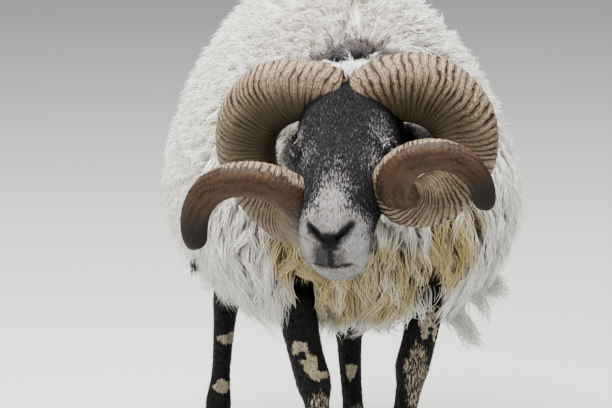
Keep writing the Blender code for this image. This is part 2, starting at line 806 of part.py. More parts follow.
def build_head():
    """Skull and jaw with sockets, lids, lips, mouth line and nostrils."""
    first, last = HEAD_STATIONS[0][0], HEAD_STATIONS[-1][0]
    rings = []
    for i in range(HEAD_RINGS):
        share = i / (HEAD_RINGS - 1)
        share = 0.7 * share + 0.3 * (0.5 - 0.5 * math.cos(math.pi * share))
        place = first + (last - first) * share
        rings.append([head_point(place, 2 * math.pi * k / HEAD_SIDES) for k in range(HEAD_SIDES)])
    head = loft("head", rings, "face_hair")
    added = []
    hollows = []
    for sign in (1, -1):
        ways = eye_ways(sign)
        socket = eye_centre(sign) - ways[0] * SOCKET_DEPTH
        added.append(blob("socket", socket, ways, SOCKET_SIZE, "face_hair"))
        added.append(make_lids(sign))
        place = Vector((NOSTRIL_PLACE[0] * sign - NOSE_LEAN, *NOSTRIL_PLACE[1:]))
        long_way = Vector((NOSTRIL_WAY[0] * sign, *NOSTRIL_WAY[1:])).normalized()
        side = NOSTRIL_FACING.cross(long_way).normalized()
        ways = (long_way, side, long_way.cross(side))
        hollows.append(blob("nostril", place, ways, NOSTRIL_SIZE, "face_hair"))
    fullness = [1 - 0.75 * abs(-1 + 2 * k / MOUTH_STEPS) ** 3 for k in range(MOUTH_STEPS + 1)]
    lips = [(LIP_RADIUS * full, LIP_RADIUS * full * 1.25) for full in fullness]
    added.append(sweep("lips", mouth_path(-0.0015), lips, 6, "face_hair", Vector((0, 0, 1))))
    groove = [(LIP_GROOVE * 3 * full, LIP_GROOVE * full) for full in fullness]
    hollows.append(sweep("groove", mouth_path(0.0050), groove, 4, "face_hair", Vector((0, 0, 1))))
    combine(head, "UNION", added)
    combine(head, "DIFFERENCE", hollows)
    place_on_head(head)
    return head


def build_eye(side, sign):
    """Round eyeball in its socket."""
    ways = eye_ways(sign)
    eye = blob("eye_" + side, eye_centre(sign), ways, (EYE_RADIUS, EYE_RADIUS, EYE_RADIUS), "eye")
    place_on_head(eye)
    return eye


def build_ear(side, sign):
    """Leaf of skin, cupped towards the front, from its root to its tip."""
    path = [(k / 3, *point) for k, point in enumerate(EAR_PATHS[side])]
    rings = []
    for share, breadth in EAR_OUTLINE:
        middle = Vector(read_stations(path, share))
        step = Vector(read_stations(path, min(share + 0.05, 1.0)))
        step = (step - Vector(read_stations(path, max(share - 0.05, 0.0)))).normalized()
        across = Vector((0, 1, 0)).cross(step).normalized() * sign
        broad = step.cross(across).normalized()
        half = EAR_BREADTH * breadth
        cup = EAR_CUP * breadth
        outer = []
        inner = []
        for k in range(5):
            f = k / 4 * 2 - 1
            back = across * (cup * (f * f) - cup)
            wall = across * (EAR_WALL * breadth ** 0.5 * (1 - 0.75 * f * f) + 0.0006)
            outer.append(middle + broad * (half * f) + back - wall)
            inner.append(middle + broad * (half * f) + back + wall)
        rings.append(outer + list(reversed(inner)))
    ear = loft("ear_" + side, rings, "ear_hair")
    place_on_head(ear)
    return ear


def horn_frame(form, sign, turned):
    """Return a point of the horn's middle line and the way out from its axis."""
    out, dip = math.radians(form["axis_out"]), math.radians(form["axis_dip"])
    axis = Vector((math.cos(dip) * math.cos(out), -math.sin(dip), math.cos(dip) * math.sin(out)))
    up = Vector((0, 1, 0))
    up = (up - axis * up.dot(axis)).normalized()
    side = up.cross(axis)
    angle = math.radians(turned + form["start"])
    turns = turned / 360.0
    radius = form["radius"] * math.exp(-form["shrink"] * max(turns, 0.0))
    outward = up * math.cos(angle) + side * math.sin(angle)
    point = form["centre"] + form["advance"] * turns + outward * radius
    point.x *= sign
    outward.x *= sign
    return point, outward


def build_horn(side, sign):
    """Ribbed horn winding back, down, forward and out to a blunt tip."""
    draw = random.Random(side)
    form = HORN_FORMS[side]
    first = -HORN_SUNK_TURN
    rings = []
    for i in range(HORN_RINGS):
        share = i / (HORN_RINGS - 1)
        turned = first + (form["turn"] - first) * share
        point, outward = horn_frame(form, sign, turned)
        step = horn_frame(form, sign, turned + 1)[0] - horn_frame(form, sign, turned - 1)[0]
        step.normalize()
        outward = (outward - step * outward.dot(step)).normalized()
        ahead = step.cross(outward) * -sign
        heft = form["heft"] + (form["tip_heft"] - form["heft"]) * share
        breadth, depth = [heft * half for half in read_stations(HORN_STATIONS, share)]
        rib = 1 + HORN_RIB * draw.uniform(0.5, 1.3) * (1 - share) * (1 if i % 2 else -1)
        ring = []
        for k in range(HORN_SIDES):
            angle = 2 * math.pi * k / HORN_SIDES
            c, s = rounded(angle, HORN_POWER)
            keel = 1 + HORN_KEEL * max(0.0, math.cos(angle - HORN_KEEL_ANGLE)) ** 6
            place = point + outward * (c * breadth * rib * keel) + ahead * (s * depth * rib * keel)
            place.x = sign * max(sign * place.x, HORN_PARTING)
            ring.append(place)
        rings.append(ring)
    horn = loft("horn_" + side, rings, "horn")
    place_on_head(horn)
    return horn


def build_leg(name):
    """Leg from inside the body to the flat above the claws, with its two dewclaws."""
    joints = LEG_JOINTS[name]
    last = len(joints) - 1
    path = [(k, *place, half_across, half_along) for k, (place, half_across, half_along) in enumerate(joints)]
    rings = []
    for i in range(LEG_RINGS):
        share = last * i / (LEG_RINGS - 1)
        x, y, z, half_across, half_along = read_stations(path, share)
        step = Vector(read_stations(path, min(share + 0.3, last))[:3])
        step = (step - Vector(read_stations(path, max(share - 0.3, 0))[:3])).normalized()
        if i == LEG_RINGS - 1:
            step = Vector((0, 0, -1))
        across = Vector((1, 0, 0))
        across = (across - step * across.dot(step)).normalized()
        forward = across.cross(step)
        ring = ring_round(Vector((x, y, z)), across, forward, half_across, half_along, LEG_SIDES)
        if i < LEG_RINGS - 1:
            for point in ring:
                point.z = max(point.z, SOLE_TOP + FOOT_EDGE)
        rings.append(ring)
    leg = loft("leg_" + name, rings, "leg_hair")
    fetlock, half_across, half_along = joints[FETLOCK]
    dewclaws = []
    for sign in (1, -1):
        root = Vector(fetlock) + Vector((DEWCLAW_APART * sign, half_along * DEWCLAW_BACK, -0.004))
        tip = root + Vector(DEWCLAW_WAY) * DEWCLAW_LENGTH
        sizes = [(DEWCLAW_RADIUS, DEWCLAW_RADIUS), (DEWCLAW_TIP, DEWCLAW_TIP)]
        dewclaws.append(sweep("dewclaw", (root, tip), sizes, 6, "leg_hair"))
    combine(leg, "UNION", dewclaws)
    return leg


def build_claw(foot, part, sign):
    """One claw: flat sole, sloping front wall, flat top against the leg."""
    place, half_across, half_along = LEG_JOINTS[foot][-1]
    centre = Vector((place[0], place[1], 0.0))
    inner = sign * CLAW_SPLIT / 2
    rings = []
    for height, reach, width in CLAW_RINGS:
        heel = centre.y + half_along
        toe = centre.y - half_along - CLAW_SLOPE * reach
        middle = (heel + toe) / 2
        long_half = (heel - toe) / 2
        ring = []
        for k in range(CLAW_SIDES):
            angle = 2 * math.pi * k / CLAW_SIDES
            along = -math.cos(angle)
            side = 0.5 + 0.5 * math.sin(angle)
            taper = 1 - CLAW_TAPER * max(0.0, -along) ** 2
            x = centre.x + inner + sign * CLAW_WIDTH * width * side * taper
            ring.append(Vector((x, middle + long_half * along, height)))
        rings.append(ring)
    return loft("claw_" + foot + "_" + part, rings, "claw")


def build_tail():
    """Woolly tail hanging from the rump, with locks down its back."""
    draw = random.Random(3)
    tail = sweep("tail", TAIL_PATH, TAIL_SIZES, TAIL_SIDES, "wool", Vector((0, -1, -1)))
    path = [(k, *point, *size) for k, (point, size) in enumerate(zip(TAIL_PATH, TAIL_SIZES))]
    locks = []
    for place, count, length in TAIL_LOCK_ROWS:
        x, y, z, half_across, half_back = read_stations(path, place)
        for k in range(count):
            across = -1 + 2 * (k + 0.5) / count
            outward = Vector((across, 1 - 0.6 * abs(across), 0)).normalized()
            root = Vector((x + half_across * TAIL_ROOTS[0] * across, y + half_back * TAIL_ROOTS[1], z))
            way = Vector((LOCK_SWAY * across + draw.uniform(-LOCK_SWAY, LOCK_SWAY), 0.0, -1))
            bend = draw.uniform(-LOCK_BEND / 2, LOCK_BEND / 2)
            locks.append(make_lock(root, outward, way, length, LOCK_BREADTH * TAIL_LOCK_SLIM, bend))
    return tail, locks


def build_scrotum():
    """Hanging pouch, narrow above and full below."""
    rings = []
    for i in range(SCROTUM_RINGS):
        share = i / (SCROTUM_RINGS - 1)
        centre = SCROTUM_TOP - Vector((0, 0, SCROTUM_DROP * share))
        fullness = SCROTUM_NECK + (1 - SCROTUM_NECK) * math.sin(math.pi * (share ** 1.6) * 0.72)
        if share > SCROTUM_ROUNDING:
            end = (share - SCROTUM_ROUNDING) / (1 - SCROTUM_ROUNDING)
            fullness *= math.sqrt(max(0.04, 1 - end ** 2))
        half = SCROTUM_RADIUS * fullness
        across, along = Vector((1, 0, 0)), Vector((0, 1, 0))
        rings.append(ring_round(centre, across, along, half, half * SCROTUM_FLATNESS, SCROTUM_SIDES))
    return loft("scrotum", rings, "wool")


def centre_on_floor(nodes):
    """Hang all nodes on an empty and move it so that the origin is under the middle."""
    corners = [vertex.co for node in nodes for vertex in node.data.vertices]
    low = Vector([min(corner[i] for corner in corners) for i in range(3)])
    high = Vector([max(corner[i] for corner in corners) for i in range(3)])
    stand = bpy.data.objects.new("ram", None)
    bpy.context.scene.collection.objects.link(stand)
    stand.location = (-(low.x + high.x) / 2, -(low.y + high.y) / 2, -low.z)
    for node in nodes:
        node.parent = stand


def build():
    """Make every node, part them from each other and centre the model."""
    clear_scene()
    torso = build_torso()
    neck, neck_locks = build_neck()
    head = build_head()
    eyes = [build_eye("left", 1), build_eye("right", -1)]
    ears = [build_ear("left", 1), build_ear("right", -1)]
    horns = [build_horn("left", 1), build_horn("right", -1)]
    legs = [build_leg(name) for name in LEG_JOINTS]
    claws = []
    for name in LEG_JOINTS:
        inner_sign = -1 if name.endswith("left") else 1
        claws.append(build_claw(name, "inner", inner_sign))
        claws.append(build_claw(name, "outer", -inner_sign))
    tail, tail_locks = build_tail()
    scrotum = build_scrotum()
    make_room(torso, neck, tail, *tail_locks, scrotum, *legs)
    combine(neck, "UNION", neck_locks)
    combine(tail, "UNION", tail_locks)
    make_room(head, *eyes, *horns, *ears)
    make_room(neck, head, *horns, *ears)
    nodes = [torso, neck, head, tail, scrotum, *eyes, *ears, *horns, *legs, *claws]
    ram = bpy.data.collections.new("blackface_ram")
    bpy.context.scene.collection.children.link(ram)
    for node in nodes:
        ram.objects.link(node)
        bpy.context.scene.collection.objects.unlink(node)
    centre_on_floor(nodes)


build()
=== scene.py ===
"""Blackface ram walking with its head lowered: the looks of the still model."""

import math
import random

import bpy
import numpy as np
from mathutils import Euler, Matrix, Vector


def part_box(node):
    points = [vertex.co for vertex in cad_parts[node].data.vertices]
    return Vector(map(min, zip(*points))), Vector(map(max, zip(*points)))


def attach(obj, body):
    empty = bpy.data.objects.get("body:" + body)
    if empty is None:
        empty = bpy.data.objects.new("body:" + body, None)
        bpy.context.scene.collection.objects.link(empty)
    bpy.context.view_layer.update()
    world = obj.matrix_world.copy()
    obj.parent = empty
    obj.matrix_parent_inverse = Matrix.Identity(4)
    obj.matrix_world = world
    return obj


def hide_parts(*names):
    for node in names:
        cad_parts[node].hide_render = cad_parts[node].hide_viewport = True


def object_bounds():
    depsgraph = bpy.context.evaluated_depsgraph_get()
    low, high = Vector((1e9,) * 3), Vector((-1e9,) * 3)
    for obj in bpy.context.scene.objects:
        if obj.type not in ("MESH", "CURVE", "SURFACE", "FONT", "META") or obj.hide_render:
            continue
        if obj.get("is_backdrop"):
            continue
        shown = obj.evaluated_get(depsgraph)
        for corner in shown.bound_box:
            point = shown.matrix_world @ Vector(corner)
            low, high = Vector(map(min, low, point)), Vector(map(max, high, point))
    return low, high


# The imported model. The ram was modelled round a point on the floor under its chest,
# and its left eye shows how far it has been moved since. The head has a frame of its
# own, where x is the ram's left, y runs up the face from the mouth and z out of it.
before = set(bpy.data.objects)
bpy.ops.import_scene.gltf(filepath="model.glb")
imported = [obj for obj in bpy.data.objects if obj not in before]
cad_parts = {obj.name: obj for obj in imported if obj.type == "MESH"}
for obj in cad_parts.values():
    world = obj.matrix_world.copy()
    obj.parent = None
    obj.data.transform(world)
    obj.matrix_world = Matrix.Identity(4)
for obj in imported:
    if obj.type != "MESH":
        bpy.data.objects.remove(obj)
solid_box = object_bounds()
bpy.ops.object.select_all(action="DESELECT")
EYE_LEVEL = Vector((-0.066, -0.601, 0.648))
FACE_TURN = Euler([math.radians(angle) for angle in (55.0, -2.0, -19.3)])
FACE_MATRIX = Matrix.Translation(EYE_LEVEL) @ FACE_TURN.to_matrix().to_4x4()
EYE_PLACE = Vector((0.062, -0.006, -0.001))
low_corner, high_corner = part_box("eye_left")
SHIFT = (Vector(low_corner) + Vector(high_corner)) / 2 - FACE_MATRIX @ EYE_PLACE


# The camera stands in front of the ram and a little to its right, and looks down
# on it through a long lens.
CAMERA_PLACE = Vector((-0.7363, -5.60, 1.410))
CAMERA_AHEAD = (0.1219, 0.9925)
CAMERA_DIP = math.radians(9.5)
CAMERA_LENS = 208.8

camera_way = Vector((*CAMERA_AHEAD, -math.tan(CAMERA_DIP)))
camera_turn = camera_way.to_track_quat("-Z", "Y").to_euler()
bpy.ops.object.camera_add(location=CAMERA_PLACE + SHIFT, rotation=camera_turn)
camera = bpy.context.object
camera.data.lens = CAMERA_LENS
camera.data.sensor_width = 36.0
bpy.context.scene.camera = camera


# Plain pale floor and soft studio light: one wide panel overhead, two weak ones
# at the front, and a pale surround.
FLOOR_SIZE = 80.0
FLOOR_COLOUR = (0.62, 0.62, 0.60)
SURROUND_COLOUR = (0.80, 0.84, 0.90)
SURROUND_STRENGTH = 0.46
PANELS = (
    ((-0.6, -0.4, 4.2), (3.0, 3.6), 510.0, (1.0, 0.985, 0.96)),
    ((-3.4, -3.6, 2.8), (2.4, 2.4), 90.0, (1.0, 0.98, 0.95)),
    ((3.2, -3.0, 2.0), (2.4, 2.4), 50.0, (0.95, 0.98, 1.0)),
)
AIM = Vector((0.0, 0.0, 0.45))


def node(tree, kind, inputs=None, **settings):
    """Add a shader node, set or link its inputs, and return it."""
    made = tree.nodes.new("ShaderNode" + kind)
    for key, value in settings.items():
        setattr(made, key, value)
    for key, source in (inputs or {}).items():
        if isinstance(source, bpy.types.NodeSocket):
            tree.links.new(source, made.inputs[key])
        else:
            made.inputs[key].default_value = source
    return made


def new_finish(name, **values):
    """Start a material and return its node tree and its shader."""
    material = bpy.data.materials.new(name)
    material.use_nodes = True
    shader = material.node_tree.nodes["Principled BSDF"]
    for key, value in values.items():
        shader.inputs[key.replace("_", " ")].default_value = value
    return material, material.node_tree, shader


bpy.ops.mesh.primitive_plane_add(size=FLOOR_SIZE)
floor = bpy.context.object
floor.name = "floor"
floor_finish, _, floor_shader = new_finish("floor", Roughness=0.85)
floor_shader.inputs["Base Color"].default_value = (*FLOOR_COLOUR, 1.0)
floor.data.materials.append(floor_finish)
floor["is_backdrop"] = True

surround = bpy.data.worlds.new("surround")
surround.use_nodes = True
surround.node_tree.nodes["Background"].inputs["Color"].default_value = (*SURROUND_COLOUR, 1.0)
surround.node_tree.nodes["Background"].inputs["Strength"].default_value = SURROUND_STRENGTH
bpy.context.scene.world = surround
bpy.context.scene.view_settings.look = "AgX - Medium High Contrast"

for place, size, power, colour in PANELS:
    panel_turn = (AIM - Vector(place)).to_track_quat("-Z", "Y").to_euler()
    bpy.ops.object.light_add(type="AREA", location=place, rotation=panel_turn)
    panel = bpy.context.object.data
    panel.shape = "RECTANGLE"
    panel.size, panel.size_y = size
    panel.energy = power
    panel.color = colour


# The body's skin: the barrel of the trunk and the neck, which lie inside the wool by
# its depth, and the tail. Each is a tube through rings, joined into one skin later.
TORSO_STATIONS = (
    (-0.450, 0.062, 0.600, 0.480),
    (-0.425, 0.148, 0.680, 0.405),
    (-0.365, 0.215, 0.770, 0.352),
    (-0.270, 0.254, 0.838, 0.325),
    (-0.120, 0.272, 0.856, 0.302),
    (0.050, 0.272, 0.850, 0.292),
    (0.200, 0.256, 0.840, 0.305),
    (0.315, 0.214, 0.800, 0.350),
    (0.385, 0.145, 0.725, 0.430),
    (0.410, 0.060, 0.650, 0.520),
)
TORSO_WIDEST = 0.36
TORSO_POWERS = (1.65, 2.3)
TORSO_DEPTH = 0.030
TORSO_RINGS = 48
TORSO_SIDES = 64
NECK_ENDS = (Vector((0.0, -0.310, 0.615)), Vector((-0.032, -0.500, 0.672)))
NECK_SIZES = ((0.165, 0.175), (0.080, 0.102))
NECK_TAPER = 0.8
NECK_DEPTH = 0.024
NECK_RINGS = 20
NECK_SIDES = 48
TAIL_PATH = (
    (0.000, 0.345, 0.640),
    (0.000, 0.382, 0.648),
    (0.002, 0.412, 0.638),
    (0.005, 0.430, 0.602),
    (0.008, 0.434, 0.540),
    (0.007, 0.428, 0.460),
    (0.004, 0.424, 0.395),
)
TAIL_SIZES = (0.018, 0.022, 0.022, 0.020, 0.017, 0.013, 0.006)
TAIL_FLATNESS = 0.8
TAIL_RINGS = 25
TAIL_SIDES = 20
TAIL_AHEAD = Vector((0, -1, -1))


def read_stations(stations, place):
    """Read a smooth curve through (place, value, ...) stations."""
    if place <= stations[0][0]:
        return stations[0][1:]
    if place >= stations[-1][0]:
        return stations[-1][1:]
    k = 0
    while stations[k + 1][0] < place:
        k += 1
    low, high = stations[k], stations[k + 1]
    before = stations[max(k - 1, 0)]
    after = stations[min(k + 2, len(stations) - 1)]
    span = high[0] - low[0]
    f = (place - low[0]) / span
    values = []
    for i in range(1, len(low)):
        slope_low = (high[i] - before[i]) / (high[0] - before[0]) * span
        slope_high = (after[i] - low[i]) / (after[0] - low[0]) * span
        value = low[i] * (1 + 2 * f) * (1 - f) ** 2
        value += high[i] * f * f * (3 - 2 * f)
        value += slope_low * f * (1 - f) ** 2
        value -= slope_high * f * f * (1 - f)
        values.append(value)
    return tuple(values)


def rounded(angle, power):
    """Return the two sides of a superellipse of unit size at an angle."""
    c, s = math.cos(angle), math.sin(angle)
    return (
        math.copysign(abs(c) ** (2 / power), c),
        math.copysign(abs(s) ** (2 / power), s),
    )


def torso_point(share, angle):
    """Return a point of the trunk's skin, from share -1 at the chest to 1 at the rump."""
    first, last = TORSO_STATIONS[0][0], TORSO_STATIONS[-1][0]
    middle, half = (first + last) / 2, (last - first) / 2
    half_width, top, bottom = read_stations(TORSO_STATIONS, middle + half * share)
    half_width, top, bottom = half_width - TORSO_DEPTH, top - TORSO_DEPTH, bottom + TORSO_DEPTH
    place = middle + (half - TORSO_DEPTH) * share
    widest = bottom + TORSO_WIDEST * (top - bottom)
    above = math.sin(angle) > 0
    c, s = rounded(angle, TORSO_POWERS[0 if above else 1])
    reach = top - widest if above else widest - bottom
    return Vector((half_width * c, place, widest + reach * s))


def neck_point(share, angle):
    """Return a point of the neck's skin, from share -1 in the head to 1 in the shoulders."""
    across = Vector((1, 0, 0))
    upright = across.cross(NECK_ENDS[1] - NECK_ENDS[0]).normalized()
    along = 0.5 - 0.5 * share
    centre = NECK_ENDS[0].lerp(NECK_ENDS[1], along)
    sizes = zip(NECK_SIZES[0], NECK_SIZES[1])
    half = [low + (high - low) * along ** NECK_TAPER - NECK_DEPTH for low, high in sizes]
    return centre + across * (math.cos(angle) * half[0]) + upright * (math.sin(angle) * half[1])


def wrap(name, rings, closed=False):
    """Wrap a grid into a tube through rings of points, and close its ends."""
    rows = [[*ring, ring[0]] for ring in rings]
    if closed:
        rows.append(rows[0])
    bpy.ops.mesh.primitive_grid_add(x_subdivisions=len(rows[0]) - 1, y_subdivisions=len(rows) - 1)
    tube = bpy.context.object
    tube.name = name
    tube.data.name = name
    tube.data.uv_layers.remove(tube.data.uv_layers[0])
    for vertex, point in zip(tube.data.vertices, [point for row in rows for point in row]):
        vertex.co = point
    bpy.ops.object.mode_set(mode="EDIT")
    bpy.ops.mesh.select_all(action="SELECT")
    bpy.ops.mesh.remove_doubles(threshold=0.000001)
    bpy.ops.mesh.fill_holes(sides=0)
    bpy.ops.mesh.normals_make_consistent(inside=False)
    bpy.ops.object.mode_set(mode="OBJECT")
    bpy.ops.object.shade_smooth()
    return tube


def shares(count):
    """Return places from -1 to 1 that lie closer together towards both ends."""
    return [-math.cos(math.pi * k / (count - 1)) for k in range(count)]


def angles(count):
    """Return evenly spaced angles round a ring."""
    return [2 * math.pi * k / count for k in range(count)]


def ring_round(centre, across, along, half_across, half_along, sides):
    """Return a closed ring of points round a centre, in the plane of two directions."""
    return [
        centre + across * (math.cos(angle) * half_across) + along * (math.sin(angle) * half_along)
        for angle in angles(sides)
    ]


def sweep(name, path, sizes, sides, ahead):
    """Make a tube along a path; sizes are half sizes across and ahead."""
    path = [Vector(point) for point in path]
    rings = []
    for k, point in enumerate(path):
        step = path[min(k + 1, len(path) - 1)] - path[max(k - 1, 0)]
        step.normalize()
        across = ahead.cross(step).normalized()
        forward = step.cross(across).normalized()
        rings.append(ring_round(point, across, forward, *sizes[k], sides))
    return wrap(name, rings)


def combine(thing, operation, others):
    """Join other closed objects to one, or cut them out of it, and remove them."""
    group = bpy.data.collections.new("pieces")
    for other in others:
        group.objects.link(other)
    bpy.context.view_layer.objects.active = thing
    bpy.ops.object.modifier_add(type="BOOLEAN")
    modifier = thing.modifiers[-1]
    modifier.operation = operation
    modifier.operand_type = "COLLECTION"
    modifier.collection = group
    modifier.solver = "MANIFOLD"
    bpy.ops.object.modifier_apply(modifier=modifier.name)
    for other in others:
        bpy.data.objects.remove(other)
    bpy.data.collections.remove(group)


body = wrap("skin", [[torso_point(s, a) for a in angles(TORSO_SIDES)] for s in shares(TORSO_RINGS)])
neck = wrap("neck_skin", [[neck_point(s, a) for a in angles(NECK_SIDES)] for s in shares(NECK_RINGS)])
tail_rows = enumerate(zip(TAIL_PATH, TAIL_SIZES))
tail_curve = [(k, *point, size, size * TAIL_FLATNESS) for k, (point, size) in tail_rows]
tail_end = len(TAIL_PATH) - 1
tail_read = [read_stations(tail_curve, tail_end * k / (TAIL_RINGS - 1)) for k in range(TAIL_RINGS)]
tail = sweep("tail_skin", [r[:3] for r in tail_read], [r[3:] for r in tail_read], TAIL_SIDES, TAIL_AHEAD)


# The legs: skin over bone and tendon, thick at the forearm and thigh, knobbly at the knee
# and hock, thin along the shank and wider at the fetlock, with two dewclaws behind it.
SOLE_TOP = 0.034
LEG_JOINTS = {
    "front_left": (
        ((0.116, -0.270, 0.455), 0.042, 0.056),
        ((0.112, -0.275, 0.400), 0.034, 0.048),
        ((0.094, -0.290, 0.310), 0.027, 0.030),
        ((0.080, -0.299, 0.258), 0.027, 0.028),
        ((0.075, -0.298, 0.222), 0.021, 0.022),
        ((0.062, -0.292, 0.140), 0.0185, 0.0185),
        ((0.056, -0.288, 0.088), 0.024, 0.026),
        ((0.054, -0.303, 0.056), 0.022, 0.023),
        ((0.053, -0.316, SOLE_TOP), 0.028, 0.025),
    ),
    "front_right": (
        ((-0.112, -0.290, 0.455), 0.040, 0.052),
        ((-0.109, -0.315, 0.400), 0.034, 0.046),
        ((-0.097, -0.366, 0.312), 0.027, 0.030),
        ((-0.085, -0.393, 0.258), 0.027, 0.028),
        ((-0.080, -0.398, 0.222), 0.020, 0.021),
        ((-0.070, -0.402, 0.140), 0.0175, 0.0175),
        ((-0.064, -0.404, 0.088), 0.023, 0.025),
        ((-0.062, -0.420, 0.056), 0.021, 0.022),
        ((-0.061, -0.433, SOLE_TOP), 0.027, 0.025),
    ),
    "hind_left": (
        ((0.115, 0.135, 0.500), 0.055, 0.080),
        ((0.098, 0.060, 0.405), 0.036, 0.052),
        ((0.058, 0.028, 0.320), 0.026, 0.036),
        ((0.031, 0.040, 0.256), 0.024, 0.033),
        ((0.028, 0.036, 0.222), 0.021, 0.026),
        ((0.030, 0.014, 0.140), 0.018, 0.020),
        ((0.033, 0.002, 0.088), 0.022, 0.025),
        ((0.035, -0.014, 0.056), 0.020, 0.022),
        ((0.036, -0.027, SOLE_TOP), 0.026, 0.024),
    ),
    "hind_right": (
        ((-0.130, 0.250, 0.500), 0.055, 0.080),
        ((-0.142, 0.210, 0.405), 0.036, 0.052),
        ((-0.146, 0.236, 0.320), 0.026, 0.036),
        ((-0.151, 0.272, 0.256), 0.023, 0.033),
        ((-0.154, 0.270, 0.222), 0.020, 0.026),
        ((-0.162, 0.252, 0.140), 0.017, 0.019),
        ((-0.168, 0.242, 0.088), 0.022, 0.025),
        ((-0.170, 0.226, 0.056), 0.020, 0.022),
        ((-0.171, 0.213, SOLE_TOP), 0.026, 0.024),
    ),
}
LEG_HAIR_DEPTH = 0.0012
LEG_RINGS = 72
LEG_SIDES = 28
LEG_POWER = 2.15
LEG_STEP = 0.3
# Grooves beside the tendons: the joints between which they run, their depth, place and breadth
TENDON_SPAN = (3.6, 5.7)
TENDON_GROOVE = 0.13
TENDON_PLACE = -0.25
TENDON_BREADTH = 0.3
FETLOCK = 6
# Dewclaws: distance from the middle, place behind and below it, way, length, and the
# share of the length with its half width
DEWCLAW_APART = 0.011
DEWCLAW_BEHIND = 0.72
DEWCLAW_BELOW = 0.002
DEWCLAW_WAY = (0.003, 0.45, -0.9)
DEWCLAW_LENGTH = 0.018
DEWCLAW_SHAPE = ((0.0, 0.0070), (0.3, 0.0068), (0.6, 0.0055), (0.85, 0.0038), (1.0, 0.0012))
DEWCLAW_SIDES = 14


def leg_read(name, share):
    """Return the middle, half sizes and way down of a leg at a share of its joints."""
    joints = LEG_JOINTS[name]
    last = len(joints) - 1
    path = [(k, *place, across, along) for k, (place, across, along) in enumerate(joints)]
    x, y, z, half_across, half_along = read_stations(path, share)
    step = Vector(read_stations(path, min(share + LEG_STEP, last))[:3])
    step = (step - Vector(read_stations(path, max(share - LEG_STEP, 0))[:3])).normalized()
    return Vector((x, y, z)), half_across, half_along, step


def leg_point(name, share, angle):
    """Return a point of a leg's skin; angle 0 is its left side, 90 degrees its front."""
    centre, half_across, half_along, step = leg_read(name, share)
    last = len(LEG_JOINTS[name]) - 1
    if share > last - 0.01:
        step = Vector((0, 0, -1))
    across = Vector((1, 0, 0))
    across = (across - step * across.dot(step)).normalized()
    forward = across.cross(step)
    c, s = rounded(angle, LEG_POWER)
    groove = 0.0
    if TENDON_SPAN[0] < share < TENDON_SPAN[1]:
        middle = (share - TENDON_SPAN[0]) / (TENDON_SPAN[1] - TENDON_SPAN[0])
        near = math.exp(-((s - TENDON_PLACE) / TENDON_BREADTH) ** 2)
        groove = TENDON_GROOVE * math.sin(math.pi * middle) * near
    half_across = (half_across - LEG_HAIR_DEPTH) * (1 - groove)
    half_along = half_along - LEG_HAIR_DEPTH
    point = centre + across * (c * half_across) + forward * (s * half_along)
    point.z = max(point.z, SOLE_TOP)
    return point


legs = []
for name, joints in LEG_JOINTS.items():
    last = len(joints) - 1
    places = [last * k / (LEG_RINGS - 1) for k in range(LEG_RINGS)]
    rings = [[leg_point(name, place, angle) for angle in angles(LEG_SIDES)] for place in places]
    legs.append(wrap("leg_skin", rings))
    fetlock, half_across, half_along = joints[FETLOCK]
    for sign in (1, -1):
        off = Vector((DEWCLAW_APART * sign, half_along * DEWCLAW_BEHIND, -DEWCLAW_BELOW))
        way = Vector((DEWCLAW_WAY[0] * sign, *DEWCLAW_WAY[1:])) * DEWCLAW_LENGTH
        path = [Vector(fetlock) + off + way * share for share, size in DEWCLAW_SHAPE]
        sizes = [(size, size) for share, size in DEWCLAW_SHAPE]
        legs.append(sweep("dewclaw", path, sizes, DEWCLAW_SIDES, Vector((1, 0, 0))))


# The scrotum: a hanging pouch of soft skin between the hind legs, narrow above and full
# below. It is bare, and has the pale cream of the skin that lies under the wool.
SCROTUM_TOP = Vector((-0.035, 0.200, 0.400))
SCROTUM_DROP = 0.158
SCROTUM_RADIUS = 0.048
SCROTUM_FLATNESS = 0.8
# Share where the pouch begins to round off below, and the rest of its length
SCROTUM_FULL = 0.78
SCROTUM_END = 0.22
SCROTUM_RINGS = 30
SCROTUM_SIDES = 36


def scrotum_point(share, angle):
    """Return a point of the pouch, from share 0 at its neck to 1 at its bottom."""
    centre = SCROTUM_TOP - Vector((0, 0, SCROTUM_DROP * share))
    fullness = 0.55 + 0.45 * math.sin(math.pi * (share ** 1.6) * 0.72)
    if share > SCROTUM_FULL:
        fullness *= math.sqrt(max(0.004, 1 - ((share - SCROTUM_FULL) / SCROTUM_END) ** 2))
    cleft = 1 - 0.10 * share * math.exp(-(math.cos(angle) / 0.35) ** 2)
    half = SCROTUM_RADIUS * fullness * cleft
    return centre + Vector((half * math.cos(angle), half * SCROTUM_FLATNESS * math.sin(angle), 0))


scrotum_drops = [math.sin(math.pi / 2 * k / (SCROTUM_RINGS - 1)) for k in range(SCROTUM_RINGS)]
rings = [[scrotum_point(drop, angle) for angle in angles(SCROTUM_SIDES)] for drop in scrotum_drops]
scrotum = wrap("scrotum_skin", rings)
combine(body, "UNION", [neck, tail, *legs, scrotum])


# The head: one skin over skull and jaw, with sockets, lids, lips, nostrils and ears,
# modelled in the face's frame and turned into place.
HEAD_STATIONS = (
    (-0.171, 0.020, -0.036, -0.082),
    (-0.164, 0.037, -0.014, -0.096),
    (-0.147, 0.049, 0.007, -0.102),
    (-0.120, 0.054, 0.024, -0.104),
    (-0.088, 0.058, 0.035, -0.108),
    (-0.050, 0.068, 0.042, -0.126),
    (-0.010, 0.076, 0.044, -0.146),
    (0.030, 0.077, 0.045, -0.152),
    (0.065, 0.073, 0.041, -0.138),
    (0.100, 0.061, 0.024, -0.118),
    (0.130, 0.040, -0.010, -0.095),
    (0.140, 0.018, -0.035, -0.070),
)
HEAD_RINGS = 80
HEAD_SIDES = 64
HEAD_HAIR_DEPTH = 0.0012
